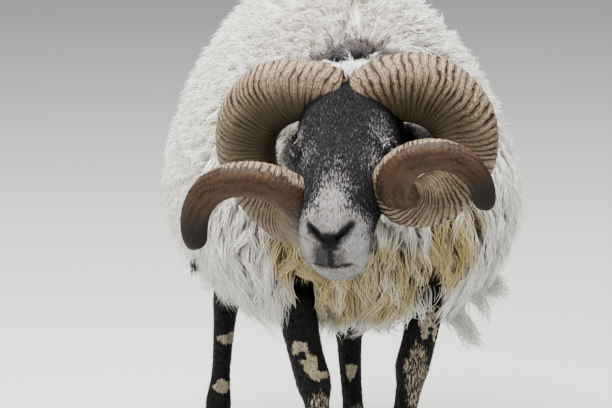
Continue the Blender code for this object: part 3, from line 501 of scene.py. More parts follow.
# Where the head is widest between jaw and bridge, how square it is, and how far it
# narrows above and below
HEAD_WIDEST = 0.62
HEAD_POWER = 2.3
HEAD_NARROWING = (0.10, 0.30)
# The nose leans to the ram's right from this place on, over this length
NOSE_LEAN = 0.008
NOSE_LEAN_FROM = -0.04
NOSE_LEAN_OVER = 0.09
MOUTH_FRONT = (-0.1700, -0.037)
MOUTH_BACK = (0.055, -0.022)
MOUTH_STEPS = 28
LIP_RADIUS = 0.0060
LIP_SUNK = 0.0015
LIP_GROOVE = (0.0062, 0.0021)
LIP_GROOVE_OUT = 0.0048
EYE_RADIUS = 0.0165
EYE_WAY = Vector((0.74, 0.0, 0.67))
LID_OPENING = (62.0, 45.0)
LID_THICKNESS = (0.0023, 0.0031)
LID_STEPS = 40
LID_SIDES = 12
LID_BREADTH = 1.5
SOCKET_SIZE = (0.0162, 0.029, 0.021)
# Nostril: points from its outer end to the middle of the nose, each with its half width
NOSTRIL_PATH = (
    ((0.0325, -0.1255, 0.0140), 0.0012),
    ((0.0300, -0.1280, 0.0140), 0.0024),
    ((0.0250, -0.1330, 0.0120), 0.0038),
    ((0.0190, -0.1385, 0.0095), 0.0046),
    ((0.0130, -0.1440, 0.0055), 0.0038),
    ((0.0075, -0.1490, 0.0010), 0.0018),
)
# Groove of the nose: from between the nostrils down the middle of the lip
PHILTRUM_PATH = (
    (0.0, -0.1480, 0.0020),
    (0.0, -0.1600, -0.0120),
    (0.0, -0.1690, -0.0270),
    (0.0, -0.1720, -0.0400),
)
PHILTRUM_SIZE = (0.0018, 0.0042)
PHILTRUM_OUT = 0.0026
# Rises and hollows of the face: middle, radius and height, on both sides
FACE_FORMS = (
    ((0.050, 0.034, 0.036), 0.022, 0.0040),
    ((0.066, -0.036, -0.012), 0.022, 0.0022),
    ((0.060, 0.020, -0.100), 0.040, 0.0035),
    ((0.058, -0.026, 0.014), 0.012, -0.0028),
    ((0.030, 0.000, 0.044), 0.024, -0.0015),
    ((0.036, -0.158, -0.022), 0.018, 0.0030),
    ((0.018, -0.118, 0.026), 0.014, 0.0016),
    ((0.044, -0.110, -0.020), 0.022, -0.0018),
    ((0.020, -0.160, -0.070), 0.018, 0.0020),
)
EAR_PATHS = {
    1: ((0.052, 0.046, -0.062), (0.092, 0.056, -0.074), (0.124, 0.060, -0.094), (0.138, 0.054, -0.132)),
    -1: ((-0.052, 0.046, -0.060), (-0.088, 0.038, -0.076), (-0.104, 0.026, -0.108), (-0.100, 0.014, -0.152)),
}
EAR_BREADTH = 0.026
EAR_WALL = 0.0040
EAR_CUP = 0.012
EAR_RINGS = 36
EAR_COLUMNS = 13
EAR_OUTLINE = ((0.0, 0.50), (0.18, 0.66), (0.40, 0.95), (0.62, 1.0), (0.84, 0.70), (0.95, 0.36), (1.0, 0.12))
HEAD_VOXEL = 0.0019


def head_point(place, angle, inset=0.0):
    """Return a point of the head's surface, in the face's frame."""
    half_width, bridge, jaw = read_stations(HEAD_STATIONS, place)
    half_width, bridge, jaw = half_width - inset, bridge - inset, jaw + inset
    middle = jaw + HEAD_WIDEST * (bridge - jaw)
    c, s = rounded(angle, HEAD_POWER)
    reach = bridge - middle if s > 0 else middle - jaw
    narrow = 1 - HEAD_NARROWING[1 if s < 0 else 0] * s * s
    lean = NOSE_LEAN * min(max((NOSE_LEAN_FROM - place) / NOSE_LEAN_OVER, 0.0), 1.0)
    return Vector((half_width * c * narrow - lean, place, middle + reach * s))


def eye_middle(sign):
    """Return the middle of an eyeball, in the face's frame."""
    return Vector((EYE_PLACE.x * sign, EYE_PLACE.y, EYE_PLACE.z))


def eye_ways(sign):
    """Return the way an eye looks, its long way and its high way."""
    out = EYE_WAY.normalized()
    out.x *= sign
    long_way = Vector((0.22 * sign, 1.0, 0.0))
    long_way = (long_way - out * long_way.dot(out)).normalized()
    high_way = out.cross(long_way) * sign
    return out, long_way, high_way


def mouth_path(grow):
    """Return points along the mouth from corner to corner, moved out by a distance."""
    path = []
    for k in range(MOUTH_STEPS + 1):
        t = -1 + 2 * k / MOUTH_STEPS
        place = MOUTH_FRONT[0] + MOUTH_BACK[0] * abs(t) ** 1.6
        height = MOUTH_FRONT[1] + MOUTH_BACK[1] * abs(t) ** 1.5
        turns = [math.radians(-80 + 2 * i) for i in range(70)]
        side = min((head_point(place, a) for a in turns), key=lambda point: abs(point.z - height))
        middle = head_point(place, math.pi / 2).x
        aside = math.sin(math.pi / 2 * min(1.0, 1.7 * abs(t))) * math.copysign(1, t)
        x = middle + (side.x - middle) * aside
        outward = Vector((x - middle, 0.7 * (place + 0.10), 0)).normalized()
        path.append(Vector((x, place, height)) + outward * grow)
    return path


def lid_ring(sign):
    """Make the upper and lower lid as one ring that lies on the eyeball."""
    out, long_way, high_way = eye_ways(sign)
    centre = eye_middle(sign)
    rings = []
    for angle in angles(LID_STEPS):
        c, s = math.cos(angle), math.sin(angle)
        opening = math.radians(LID_OPENING[1] + (LID_OPENING[0] - LID_OPENING[1]) * c * c)
        round_way = long_way * c + high_way * s
        ray = out * math.cos(opening) + round_way * math.sin(opening)
        tangent = out * -math.sin(opening) + round_way * math.cos(opening)
        radius = LID_THICKNESS[0] + (LID_THICKNESS[1] - LID_THICKNESS[0]) * (0.5 + 0.5 * s)
        middle = centre + ray * (EYE_RADIUS + 0.001)
        rings.append(ring_round(middle, tangent, ray, radius * LID_BREADTH, radius, LID_SIDES))
    return wrap("lids", rings, closed=True)


def ear_leaf(sign):
    """Make an ear as a leaf of skin, cupped towards the front."""
    path = [(k / 3, *point) for k, point in enumerate(EAR_PATHS[sign])]
    rings = []
    for i in range(EAR_RINGS):
        share = i / (EAR_RINGS - 1)
        breadth = read_stations(EAR_OUTLINE, share)[0]
        middle = Vector(read_stations(path, share))
        step = Vector(read_stations(path, min(share + 0.05, 1.0)))
        step = (step - Vector(read_stations(path, max(share - 0.05, 0.0)))).normalized()
        across = Vector((0, 1, 0)).cross(step).normalized() * sign
        broad = step.cross(across).normalized()
        outer, inner = [], []
        for k in range(EAR_COLUMNS):
            f = k / (EAR_COLUMNS - 1) * 2 - 1
            back = across * (EAR_CUP * breadth * (f * f - 1))
            wall = across * (EAR_WALL * breadth ** 0.5 * (1 - 0.7 * f ** 4) * 0.8 + 0.0004)
            outer.append(middle + broad * (EAR_BREADTH * breadth * f) + back - wall)
            inner.append(middle + broad * (EAR_BREADTH * breadth * f) + back + wall)
        rings.append(outer + list(reversed(inner)))
    return wrap("ear_skin", rings)


def ball(name, centre, ways, sizes):
    """Add a sphere and draw its points out along three directions."""
    bpy.ops.mesh.primitive_uv_sphere_add(segments=32, ring_count=20, radius=1.0)
    thing = bpy.context.object
    thing.name = name
    for vertex in thing.data.vertices:
        place = Vector(centre)
        for way, size, share in zip(ways, sizes, vertex.co):
            place += way * (size * share)
        vertex.co = place
    bpy.ops.object.mode_set(mode="EDIT")
    bpy.ops.mesh.select_all(action="SELECT")
    bpy.ops.mesh.normals_make_consistent(inside=False)
    bpy.ops.object.mode_set(mode="OBJECT")
    bpy.ops.object.shade_smooth()
    return thing


def points_of(thing):
    """Return an object's points as an array."""
    points = np.empty(len(thing.data.vertices) * 3, np.float32)
    thing.data.vertices.foreach_get("co", points)
    return points.reshape(-1, 3).astype(float)


def move_points(thing, points):
    """Put an array of points back into an object."""
    thing.data.vertices.foreach_set("co", points.astype(np.float32).ravel())
    thing.data.update()


first, last = HEAD_STATIONS[0][0], HEAD_STATIONS[-1][0]
rings = []
for k in range(HEAD_RINGS):
    share = k / (HEAD_RINGS - 1)
    share = 0.7 * share + 0.3 * (0.5 - 0.5 * math.cos(math.pi * share))
    place = first + (last - first) * share
    rings.append([head_point(place, angle, HEAD_HAIR_DEPTH) for angle in angles(HEAD_SIDES)])
head = wrap("head_skin", rings)
added, hollows = [], []
for sign in (1, -1):
    ways = eye_ways(sign)
    added.append(ball("socket", eye_middle(sign) - ways[0] * 0.003, ways, SOCKET_SIZE))
    added.append(lid_ring(sign))
    added.append(ear_leaf(sign))
    path = [Vector((place[0] * sign - NOSE_LEAN, *place[1:])) for place, size in NOSTRIL_PATH]
    sizes = [(size, size * 2.2) for place, size in NOSTRIL_PATH]
    hollows.append(sweep("nostril", path, sizes, 16, Vector((0, -0.55, 0.75))))
fullness = [1 - 0.75 * abs(-1 + 2 * k / MOUTH_STEPS) ** 3 for k in range(MOUTH_STEPS + 1)]
lips = [(LIP_RADIUS * full, LIP_RADIUS * full * 1.25) for full in fullness]
added.append(sweep("lips", mouth_path(-LIP_SUNK), lips, 16, Vector((0, 0, 1))))
grooves = [(LIP_GROOVE[0] * full, LIP_GROOVE[1] * full) for full in fullness]
hollows.append(sweep("groove", mouth_path(LIP_GROOVE_OUT), grooves, 8, Vector((0, 0, 1))))
path = [Vector((x - NOSE_LEAN, y - PHILTRUM_OUT, z + PHILTRUM_OUT)) for x, y, z in PHILTRUM_PATH]
hollows.append(sweep("philtrum", path, [PHILTRUM_SIZE] * len(path), 10, Vector((0, -0.6, 0.6))))
combine(head, "UNION", added)
combine(head, "DIFFERENCE", hollows)
bpy.context.view_layer.objects.active = head
bpy.ops.object.modifier_add(type="REMESH")
head.modifiers[-1].mode = "VOXEL"
head.modifiers[-1].voxel_size = HEAD_VOXEL
head.modifiers[-1].use_smooth_shade = True
bpy.ops.object.modifier_apply(modifier=head.modifiers[-1].name)
bpy.ops.object.modifier_add(type="SMOOTH")
head.modifiers[-1].factor = 0.5
head.modifiers[-1].iterations = 3
bpy.ops.object.modifier_apply(modifier=head.modifiers[-1].name)

points = points_of(head)
normals = np.empty(points.size, np.float32)
head.data.vertices.foreach_get("normal", normals)
normals = normals.reshape(-1, 3)
for middle, radius, height in FACE_FORMS:
    for sign in (1, -1):
        centre = np.array((middle[0] * sign, *middle[1:]))
        near = np.exp(-((points - centre) ** 2).sum(axis=1) / radius ** 2)
        points = points + normals * (near * height)[:, None]
move_points(head, points)
head.data.transform(FACE_MATRIX)
combine(body, "UNION", [head])
skin = body
skin.data.transform(Matrix.Translation(SHIFT))


# The markings, shared by skin, hair and wool. The face is black, speckled round the eyes
# and down the nose, and pale at the muzzle; the legs are black with cream patches.
# The face's black has a faint blue cast: a painted sheen of the sky light on the hair
FACE_BLACK = (0.0115, 0.0115, 0.0145)
FACE_PALE = (0.355, 0.345, 0.34)
FACE_WARMTH = (0.80, 0.70, 0.64)
FACE_TAN = (0.42, 0.27, 0.16)
FACE_GRIZZLE = 0.035
EAR_PALE = (0.46, 0.44, 0.42)
EAR_GREY = (0.16, 0.15, 0.15)
# Dark root of each ear, a painted shade under the horn: middle in the face's frame, inner and outer radius,
# strength
EAR_ROOT_SHADE = (((0.052, 0.046, -0.062), 0.030, 0.046, 1.0), ((-0.066, 0.060, -0.074), 0.030, 0.044, 1.0))
# Pale patches of the face: middle in the face's frame, inner and outer radius, strength
FACE_PATCHES = (
    ((-0.006, -0.144, -0.016), 0.046, 0.074, 0.80),
    ((-0.036, -0.148, -0.024), 0.016, 0.036, 0.93),
    ((0.024, -0.148, -0.024), 0.016, 0.036, 0.93),
    ((-0.004, -0.150, -0.062), 0.045, 0.062, 0.93),
    ((-0.006, -0.098, 0.034), 0.010, 0.040, 0.74),
    ((-0.002, -0.078, 0.040), 0.004, 0.046, 0.46),
    ((0.000, -0.050, 0.045), 0.004, 0.040, 0.22),
    ((0.050, -0.030, 0.024), 0.003, 0.036, 0.32),
    ((0.060, 0.018, 0.022), 0.004, 0.044, 0.34),
    ((0.068, 0.004, 0.020), 0.004, 0.024, 0.44),
    ((-0.050, -0.024, 0.026), 0.003, 0.034, 0.30),
    ((-0.070, 0.014, 0.006), 0.004, 0.038, 0.36),
    ((0.000, 0.134, 0.000), 0.026, 0.036, 1.00),
)
# Dark strokes of the muzzle, partly its dark skin and partly painted shade in its nostrils and mouth: both
# ends, inner and outer radius, strength
MUZZLE_MARKS_AND_SHADE = (
    # Painted shade in the nostrils
    ((-0.0400, -0.1270, 0.0120), (-0.0321, -0.1359, 0.0056), 0.0010, 0.0110, 0.96),
    ((-0.0330, -0.1345, 0.0070), (-0.0160, -0.1490, 0.0010), 0.0020, 0.0136, 1.00),
    ((0.0246, -0.1270, 0.0120), (0.0157, -0.1355, 0.0051), 0.0010, 0.0110, 0.96),
    ((0.0165, -0.1345, 0.0070), (0.0000, -0.1490, 0.0010), 0.0020, 0.0136, 1.00),
    # The dark nose pad, and the dark groove from it down the lip
    ((-0.0130, -0.1480, 0.0030), (-0.0010, -0.1480, 0.0030), 0.0056, 0.0176, 1.00),
    ((-0.0130, -0.1540, -0.0030), (-0.0040, -0.1540, -0.0030), 0.0044, 0.0176, 0.96),
    ((-0.0078, -0.1560, -0.0050), (-0.0110, -0.1710, -0.0320), 0.0022, 0.0142, 0.94),
    # Dark grey smudges beside the groove
    ((-0.0210, -0.1600, -0.0120), (-0.0230, -0.1680, -0.0310), 0.0060, 0.0215, 0.80),
    ((0.0040, -0.1620, -0.0200), (0.0020, -0.1700, -0.0340), 0.0030, 0.0160, 0.58),
    # Painted shadow along the groove of the mouth
    ((-0.0337, -0.1681, -0.0345), (-0.0114, -0.1726, -0.0350), 0.0012, 0.0086, 0.96),
    ((-0.0114, -0.1726, -0.0350), (0.0150, -0.1690, -0.0368), 0.0012, 0.0086, 0.96),
)
TAN_MARKS = (((-0.0100, 0.1000, 0.0300), 0.006, 0.014, 1.0),)
LEG_BLACK = (0.0075, 0.0070, 0.0070)
LEG_CREAM = (0.36, 0.31, 0.225)
# Cream patches of the legs, in the ram's frame: middle, half size, strength
LEG_PATCHES = (
    ((-0.106, -0.397, 0.312), (0.013, 0.030, 0.013), 0.88),
    ((-0.094, -0.405, 0.290), (0.013, 0.030, 0.018), 0.88),
    ((-0.078, -0.415, 0.272), (0.017, 0.030, 0.008), 0.88),
    ((-0.080, -0.418, 0.222), (0.018, 0.030, 0.030), 0.42),
    ((0.128, -0.315, 0.364), (0.008, 0.030, 0.017), 0.88),
    ((0.112, -0.316, 0.346), (0.013, 0.030, 0.011), 0.88),
    ((0.097, -0.320, 0.332), (0.011, 0.030, 0.012), 0.88),
    ((0.113, -0.318, 0.316), (0.005, 0.030, 0.018), 0.88),
    ((0.097, -0.320, 0.314), (0.006, 0.030, 0.010), 0.70),
    ((0.084, -0.320, 0.245), (0.021, 0.030, 0.058), 0.48),
    ((0.042, 0.005, 0.252), (0.008, 0.030, 0.011), 0.88),
    ((0.026, 0.000, 0.186), (0.009, 0.030, 0.013), 0.88),
    ((0.034, -0.010, 0.120), (0.012, 0.030, 0.020), 0.4),
    ((-0.150, 0.240, 0.196), (0.018, 0.040, 0.011), 0.72),
    ((-0.164, 0.226, 0.120), (0.016, 0.040, 0.009), 0.88),
)
# Dark spots within the patches, in the same terms
LEG_SPOTS = (
    ((-0.1030, -0.402, 0.301), (0.0060, 0.030, 0.0060), 1.0),
    ((0.1130, -0.316, 0.349), (0.0045, 0.030, 0.0040), 1.0),
    ((0.1050, -0.320, 0.322), (0.0050, 0.030, 0.0040), 1.0),
)
# Bare tops of the forearms, where the wool of the chest parts: middle and half size
BARE_TOPS = (
    ((0.091, -0.335, 0.398), (0.040, 0.090, 0.043)),
    ((-0.093, -0.366, 0.382), (0.018, 0.090, 0.034)),
)
# Leg hair ends at this height, and is sought this far round the joints of a leg
LEG_TOP = 0.44
LEG_MARGIN = 0.012
# Limits of the head and ears in the face's frame, and how far back the head reaches
HEAD_CROWN = 0.15
HEAD_UNDER = -0.16
HEAD_BACK = -0.50
EAR_OUTSIDE = 0.078
EAR_BEHIND = -0.045
# The pouch: middle and half size across and along, and a height just below it
POUCH_MIDDLE = (-0.035, 0.200)
POUCH_HALF = (0.054, 0.060)
POUCH_ABOVE = 0.235
WOOL_WHITE = (0.86, 0.84, 0.79)
WOOL_GOLD = (0.57, 0.455, 0.225)
WOOL_OLIVE = (0.54, 0.455, 0.26)
# Darker cream towards the roots: painted shade deep in the coat, with the creamier inner wool
WOOL_ROOT_CREAM_AND_SHADE = (0.50, 0.44, 0.34)
# Gold and olive patches of the chest, in the ram's frame: middle, half size, strength
GOLD_PATCHES = (
    ((0.118, -0.380, 0.450), (0.048, 0.120, 0.062), 1.00),
    ((0.150, -0.340, 0.500), (0.035, 0.100, 0.040), 0.70),
    ((-0.124, -0.390, 0.484), (0.036, 0.110, 0.080), 0.90),
    ((-0.060, -0.420, 0.400), (0.050, 0.100, 0.030), 0.45),
)
OLIVE_PATCHES = (((-0.010, -0.420, 0.398), (0.130, 0.150, 0.084), 1.0),)
# Scale of the noise of short hair along each axis, which draws it out downwards, and its depth
HAIR_STRETCH = (1.0, 0.35, 0.22)
HAIR_BUMP = 0.002


def start_group(name, inputs, outputs):
    """Start a node group with its sockets, and return its tree and its two ends."""
    tree = bpy.data.node_groups.new(name, "ShaderNodeTree")
    for label, kind, value in inputs:
        socket = tree.interface.new_socket(name=label, in_out="INPUT", socket_type="NodeSocket" + kind)
        socket.default_value = value
    for label, kind in outputs:
        tree.interface.new_socket(name=label, in_out="OUTPUT", socket_type="NodeSocket" + kind)
    return tree, tree.nodes.new("NodeGroupInput"), tree.nodes.new("NodeGroupOutput")


def calc(tree, operation, first, second=0.0, clamp=False):
    """Add a Math node and return its value."""
    return node(tree, "Math", {0: first, 1: second}, operation=operation, use_clamp=clamp).outputs[0]


def fade(tree, value, low, high, from_value, to_value):
    """Map a value smoothly from one range to another."""
    limits = {"Value": value, "From Min": low, "From Max": high, "To Min": from_value, "To Max": to_value}
    return node(tree, "MapRange", limits, interpolation_type="SMOOTHSTEP").outputs["Result"]


def blended(tree, factor, first, second):
    """Mix two colours."""
    colours = [
        source if isinstance(source, bpy.types.NodeSocket) else (*source, 1.0)
        for source in (first, second)
    ]
    mix = node(tree, "Mix", {"Factor": factor, 6: colours[0], 7: colours[1]}, data_type="RGBA")
    return mix.outputs[2]


def noise_at(tree, place, scale, detail=3.0):
    """Return a soft noise at a place."""
    return node(tree, "TexNoise", {"Vector": place, "Scale": scale, "Detail": detail}).outputs["Fac"]


def patches(tree, place, marks):
    """Return the strongest of several round patches at a place."""
    found = None
    for middle, size, *reach, strength in marks:
        if reach:
            far = node(tree, "VectorMath", {0: place, 1: middle}, operation="DISTANCE").outputs["Value"]
            mark = fade(tree, far, size, reach[0], strength, 0.0)
        else:
            middle = Vector(middle) + SHIFT
            off = node(tree, "VectorMath", {0: place, 1: middle}, operation="SUBTRACT").outputs[0]
            off = node(tree, "VectorMath", {0: off, 1: size}, operation="DIVIDE").outputs[0]
            far = node(tree, "VectorMath", {0: off}, operation="LENGTH").outputs["Value"]
            mark = fade(tree, far, 0.75, 1.15, strength, 0.0)
        found = mark if found is None else calc(tree, "MAXIMUM", found, mark)
    return found


def strokes(tree, place, marks):
    """Return the strongest of several strokes from one point to another at a place."""
    found = 0.0
    for first, second, size, reach, strength in marks:
        way = Vector(second) - Vector(first)
        off = node(tree, "VectorMath", {0: place, 1: first}, operation="SUBTRACT").outputs[0]
        across = tuple(way / way.length_squared)
        share = node(tree, "VectorMath", {0: off, 1: across}, operation="DOT_PRODUCT").outputs["Value"]
        share = calc(tree, "ADD", share, 0.0, clamp=True)
        foot = node(tree, "VectorMath", {0: tuple(way), "Scale": share}, operation="SCALE").outputs[0]
        far = node(tree, "VectorMath", {0: off, 1: foot}, operation="DISTANCE").outputs["Value"]
        found = calc(tree, "MAXIMUM", found, fade(tree, far, size, reach, strength, 0.0))
    return found


def wandering(tree, place, scale, amount):
    """Return a place moved about by a soft noise, so that edges wander."""
    noise = node(tree, "TexNoise", {"Vector": place, "Scale": scale, "Detail": 3.0})
    off = node(tree, "VectorMath", {0: noise.outputs["Color"], 1: (0.5, 0.5, 0.5)}, operation="SUBTRACT")
    off = node(tree, "VectorMath", {0: off.outputs[0], "Scale": amount}, operation="SCALE")
    return node(tree, "VectorMath", {0: place, 1: off.outputs[0]}, operation="ADD").outputs[0]


def build_markings(name, colours, find_pale):
    """Group that gives a coat's colour: grain decides which hairs are pale, soft blends them."""
    inputs = (("Grain", "Float", 0.5), ("Soft", "Float", 0.1))
    tree, start, end = start_group(name, inputs, (("Colour", "Color"),))
    density, hidden = find_pale(tree)
    above = calc(tree, "SUBTRACT", density, start.outputs["Grain"])
    pale = calc(tree, "ADD", calc(tree, "DIVIDE", above, start.outputs["Soft"]), 0.5, clamp=True)
    pale = calc(tree, "MULTIPLY", pale, calc(tree, "SUBTRACT", 1.0, hidden))
    colour = blended(tree, pale, *colours)
    tree.links.new(colour, end.inputs["Colour"])
    return tree, colour, end


def place_on_face(tree):
    """Return the place in the face's frame."""
    where = node(tree, "TexCoord").outputs["Object"]
    mapping = node(tree, "Mapping", {"Vector": where}, vector_type="TEXTURE")
    mapping.inputs["Location"].default_value = EYE_LEVEL + SHIFT
    mapping.inputs["Rotation"].default_value = FACE_TURN
    return mapping.outputs[0]


def face_pale(tree):
    """Return how pale the face is at a place, and how far dark marks and painted shade of the muzzle cover
    it.
    """
    place = place_on_face(tree)
    density = patches(tree, wandering(tree, place, 45.0, 0.012), FACE_PATCHES)
    density = calc(tree, "MAXIMUM", density, FACE_GRIZZLE)
    return density, strokes(tree, wandering(tree, place, 140.0, 0.006), MUZZLE_MARKS_AND_SHADE)


def ear_colour(tree, grey):
    """Return the colour of an ear: pale and grey, and black at its root, a painted shade under the horn."""
    dark = patches(tree, wandering(tree, place_on_face(tree), 60.0, 0.012), EAR_ROOT_SHADE)
    return blended(tree, dark, blended(tree, grey, EAR_PALE, EAR_GREY), FACE_BLACK)


def leg_pale(tree):
    """Return how pale the legs are at a place, with ragged edges."""
    where = node(tree, "TexCoord").outputs["Object"]
    place = wandering(tree, wandering(tree, where, 34.0, 0.018), 130.0, 0.012)
    return patches(tree, place, LEG_PATCHES), patches(tree, place, LEG_SPOTS)


def build_wool_colours():
    """Group that gives the wool's colour by place, depth in the coat and lock; towards the roots it is
    creamier and darker, a painted shade deep in the coat.
    """
    inputs = (("Along", "Float", 1.0), ("Shade", "Float", 0.5), ("Tone", "Float", 0.5))
    tree, start, end = start_group("wool colours", inputs, (("Colour", "Color"),))
    where = node(tree, "TexCoord").outputs["Object"]
    place = wandering(tree, where, 12.0, 0.05)
    uneven = fade(tree, start.outputs["Tone"], 0.0, 1.0, 0.55, 1.15)
    olive = calc(tree, "MULTIPLY", patches(tree, place, OLIVE_PATCHES), uneven, clamp=True)
    gold = calc(tree, "MULTIPLY", patches(tree, place, GOLD_PATCHES), uneven, clamp=True)
    colour = blended(tree, olive, WOOL_WHITE, WOOL_OLIVE)
    colour = blended(tree, gold, colour, WOOL_GOLD)
    # Painted shade: towards its root each strand turns darker and creamier, where the wool lies deep in the
    # coat
    deep = fade(tree, start.outputs["Along"], 0.0, 0.55, 0.60, 0.0)
    colour = blended(tree, deep, colour, WOOL_ROOT_CREAM_AND_SHADE)
    shade = fade(tree, start.outputs["Shade"], 0.0, 1.0, 0.84, 1.06)
    bright = node(tree, "HueSaturation", {"Value": shade, "Color": colour}).outputs[0]
    tree.links.new(bright, end.inputs["Colour"])
    return tree


def placed_colour(tree, group, inputs):
    """Add a group to a material and return its colour."""
    return node(tree, "Group", inputs, node_tree=group).outputs["Colour"]


def bumped(tree, height, strength, distance):
    """Return the normal of a surface that a height roughens."""
    return node(tree, "Bump", {"Height": height, "Strength": strength, "Distance": distance}).outputs[0]


def hair_bump(tree, scale, strength):
    """Return the normal of short hair lying down the surface, and its noise."""
    where = node(tree, "TexCoord").outputs["Object"]
    stretched = node(tree, "Mapping", {"Vector": where, "Scale": HAIR_STRETCH}).outputs[0]
    noise = noise_at(tree, stretched, scale, 4.0)
    return bumped(tree, noise, strength, HAIR_BUMP), noise


def finish_with(tree, shader, colour, normal=None):
    """Give a material's shader its colour, and its normal where there is one."""
    tree.links.new(colour, shader.inputs["Base Color"])
    if normal:
        tree.links.new(normal, shader.inputs["Normal"])


def haired_skin(name, markings, scale, grain, soft, **looks):
    """Material of skin under short hair, coloured by its markings."""
    finish, tree, shader = new_finish(name, **looks)
    normal, noise = hair_bump(tree, scale, 0.8)
    pale = fade(tree, noise, 0.34, 0.66, *grain)
    finish_with(tree, shader, placed_colour(tree, markings, {"Grain": pale, "Soft": soft}), normal)
    return finish


face_markings, colour, end = build_markings("face markings", (FACE_BLACK, FACE_PALE), face_pale)
place = place_on_face(face_markings)
tan = patches(face_markings, place, TAN_MARKS)
warmth = fade(face_markings, noise_at(face_markings, place, 45.0), 0.42, 0.68, 0.0, 0.75)
tints = {"Factor": 1.0, 6: colour, 7: blended(face_markings, warmth, (1.0, 1.0, 1.0), FACE_WARMTH)}
mixed = node(face_markings, "Mix", tints, data_type="RGBA", blend_type="MULTIPLY")
colour = blended(face_markings, tan, mixed.outputs[2], FACE_TAN)
face_markings.links.new(colour, end.inputs["Colour"])
leg_markings, colour, end = build_markings("leg markings", (LEG_BLACK, LEG_CREAM), leg_pale)
wool_colours = build_wool_colours()

face_looks = {"Roughness": 0.7, "Specular_IOR_Level": 0.2}
face_finish = haired_skin("face skin", face_markings, 700.0, (0.08, 0.92), 0.35, **face_looks)
leg_looks = {"Roughness": 0.6, "Specular_IOR_Level": 0.25}
leg_finish = haired_skin("leg skin", leg_markings, 600.0, (0.12, 0.88), 0.25, **leg_looks)

ear_finish, tree, shader = new_finish("ear skin", Roughness=0.7)
normal, noise = hair_bump(tree, 600.0, 0.6)
finish_with(tree, shader, ear_colour(tree, fade(tree, noise, 0.35, 0.65, 0.0, 1.0)), normal)

# The skin under the wool is coloured as the wool a quarter of the way out from the root, so it carries part
# of the wool's painted root shade
under_finish, tree, shader = new_finish("skin under wool", Roughness=0.9)
noise = noise_at(tree, node(tree, "TexCoord").outputs["Object"], 110.0, 4.0)
colour = placed_colour(tree, wool_colours, {"Along": 0.25, "Shade": noise, "Tone": noise})
finish_with(tree, shader, colour, bumped(tree, noise, 0.9, 0.006))


def off_bare_tops(points, drop=0.0):
    """Return how far points, let down by a drop, lie from the nearer bare top of a forearm."""
    offs = [(points - np.array(middle) - (0.0, 0.0, drop)) / size for middle, size in BARE_TOPS]
    return np.min([np.linalg.norm(off, axis=1) for off in offs], axis=0)


def of_faces(key, width):
    """Return a value of each of the skin's faces, as rows of an array."""
    values = np.empty(len(skin.data.polygons) * width, np.float32)
    skin.data.polygons.foreach_get(key, values)
    return values.reshape(-1, width)


skin.data.materials.clear()
for finish in (under_finish, face_finish, leg_finish, ear_finish):
    skin.data.materials.append(finish)
faces = of_faces("center", 3) - np.array(SHIFT)
in_face = np.array(FACE_MATRIX.inverted())
local = faces @ in_face[:3, :3].T + in_face[:3, 3]
on_head = (local[:, 1] < HEAD_CROWN) & (local[:, 2] > HEAD_UNDER) & (faces[:, 1] < HEAD_BACK)
on_ear = on_head & (np.abs(local[:, 0]) > EAR_OUTSIDE) & (local[:, 2] < EAR_BEHIND)
on_pouch = (np.abs(faces[:, :2] - POUCH_MIDDLE) < POUCH_HALF).all(axis=1) & (faces[:, 2] > POUCH_ABOVE)
on_leg = np.zeros(len(faces), bool)
for joints in LEG_JOINTS.values():
    steps = np.array([(*place, across, along) for place, across, along in reversed(joints)])
    x, y, across, along = [np.interp(faces[:, 2], steps[:, 2], steps[:, k]) for k in (0, 1, 3, 4)]
    far = np.hypot((faces[:, 0] - x) / (across + LEG_MARGIN), (faces[:, 1] - y) / (along + LEG_MARGIN))
    on_leg |= (far < 1) & (faces[:, 2] < LEG_TOP)
on_leg |= off_bare_tops(faces) < 1
on_leg &= ~on_head & ~on_pouch
kinds = np.where(on_ear, 3, np.where(on_head, 1, np.where(on_leg, 2, 0)))
skin.data.polygons.foreach_set("material_index", kinds.astype(np.int32))
skin.data.polygons.foreach_set("use_smooth", np.ones(len(kinds), bool))
skin.name = "skin"
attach(skin, "root")
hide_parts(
    "torso", "neck", "head", "tail", "scrotum", "ear_left", "ear_right",
    *("leg_" + name for name in LEG_JOINTS),
)


# The wool: small pointed locks, each a bunch of wavy strands whose tips draw together. They
# grow out of the skin all ways on the back and flanks, and hang longer at the chest.
COAT_SEED = 7
UV_PATCH = 0.003
FLEECE_SPACING = 0.0104
FLEECE_STRANDS = 9
CHEST_SPACING = 0.0140
CHEST_STRANDS = 18
CHEST_DROP = 0.036
RAGGED_EDGE = 0.12
# The neck's wool starts ahead of a leaning line: its place, height and lean
NECK_WOOL_PLACE = -0.31
NECK_WOOL_HEIGHT = 0.62
NECK_WOOL_LEAN = 0.25
NECK_SPACING = 0.0115
NECK_GRID = (60, 90)
NAPE_MIDDLE = (-0.004, -0.413)
NAPE_SIZE = (0.080, 0.065)
# Wool keeps off the nape within this share of its size, where the neck faces up more than this
NAPE_WOOL_FROM = 0.95
NAPE_WOOL_UP = 0.45
LOOSE_STRANDS = 120
TAIL_SPACING = 0.010
TAIL_GRID = (60, 40)
TAIL_SPAN = (-0.6, 0.96)
TAIL_STRANDS = 14
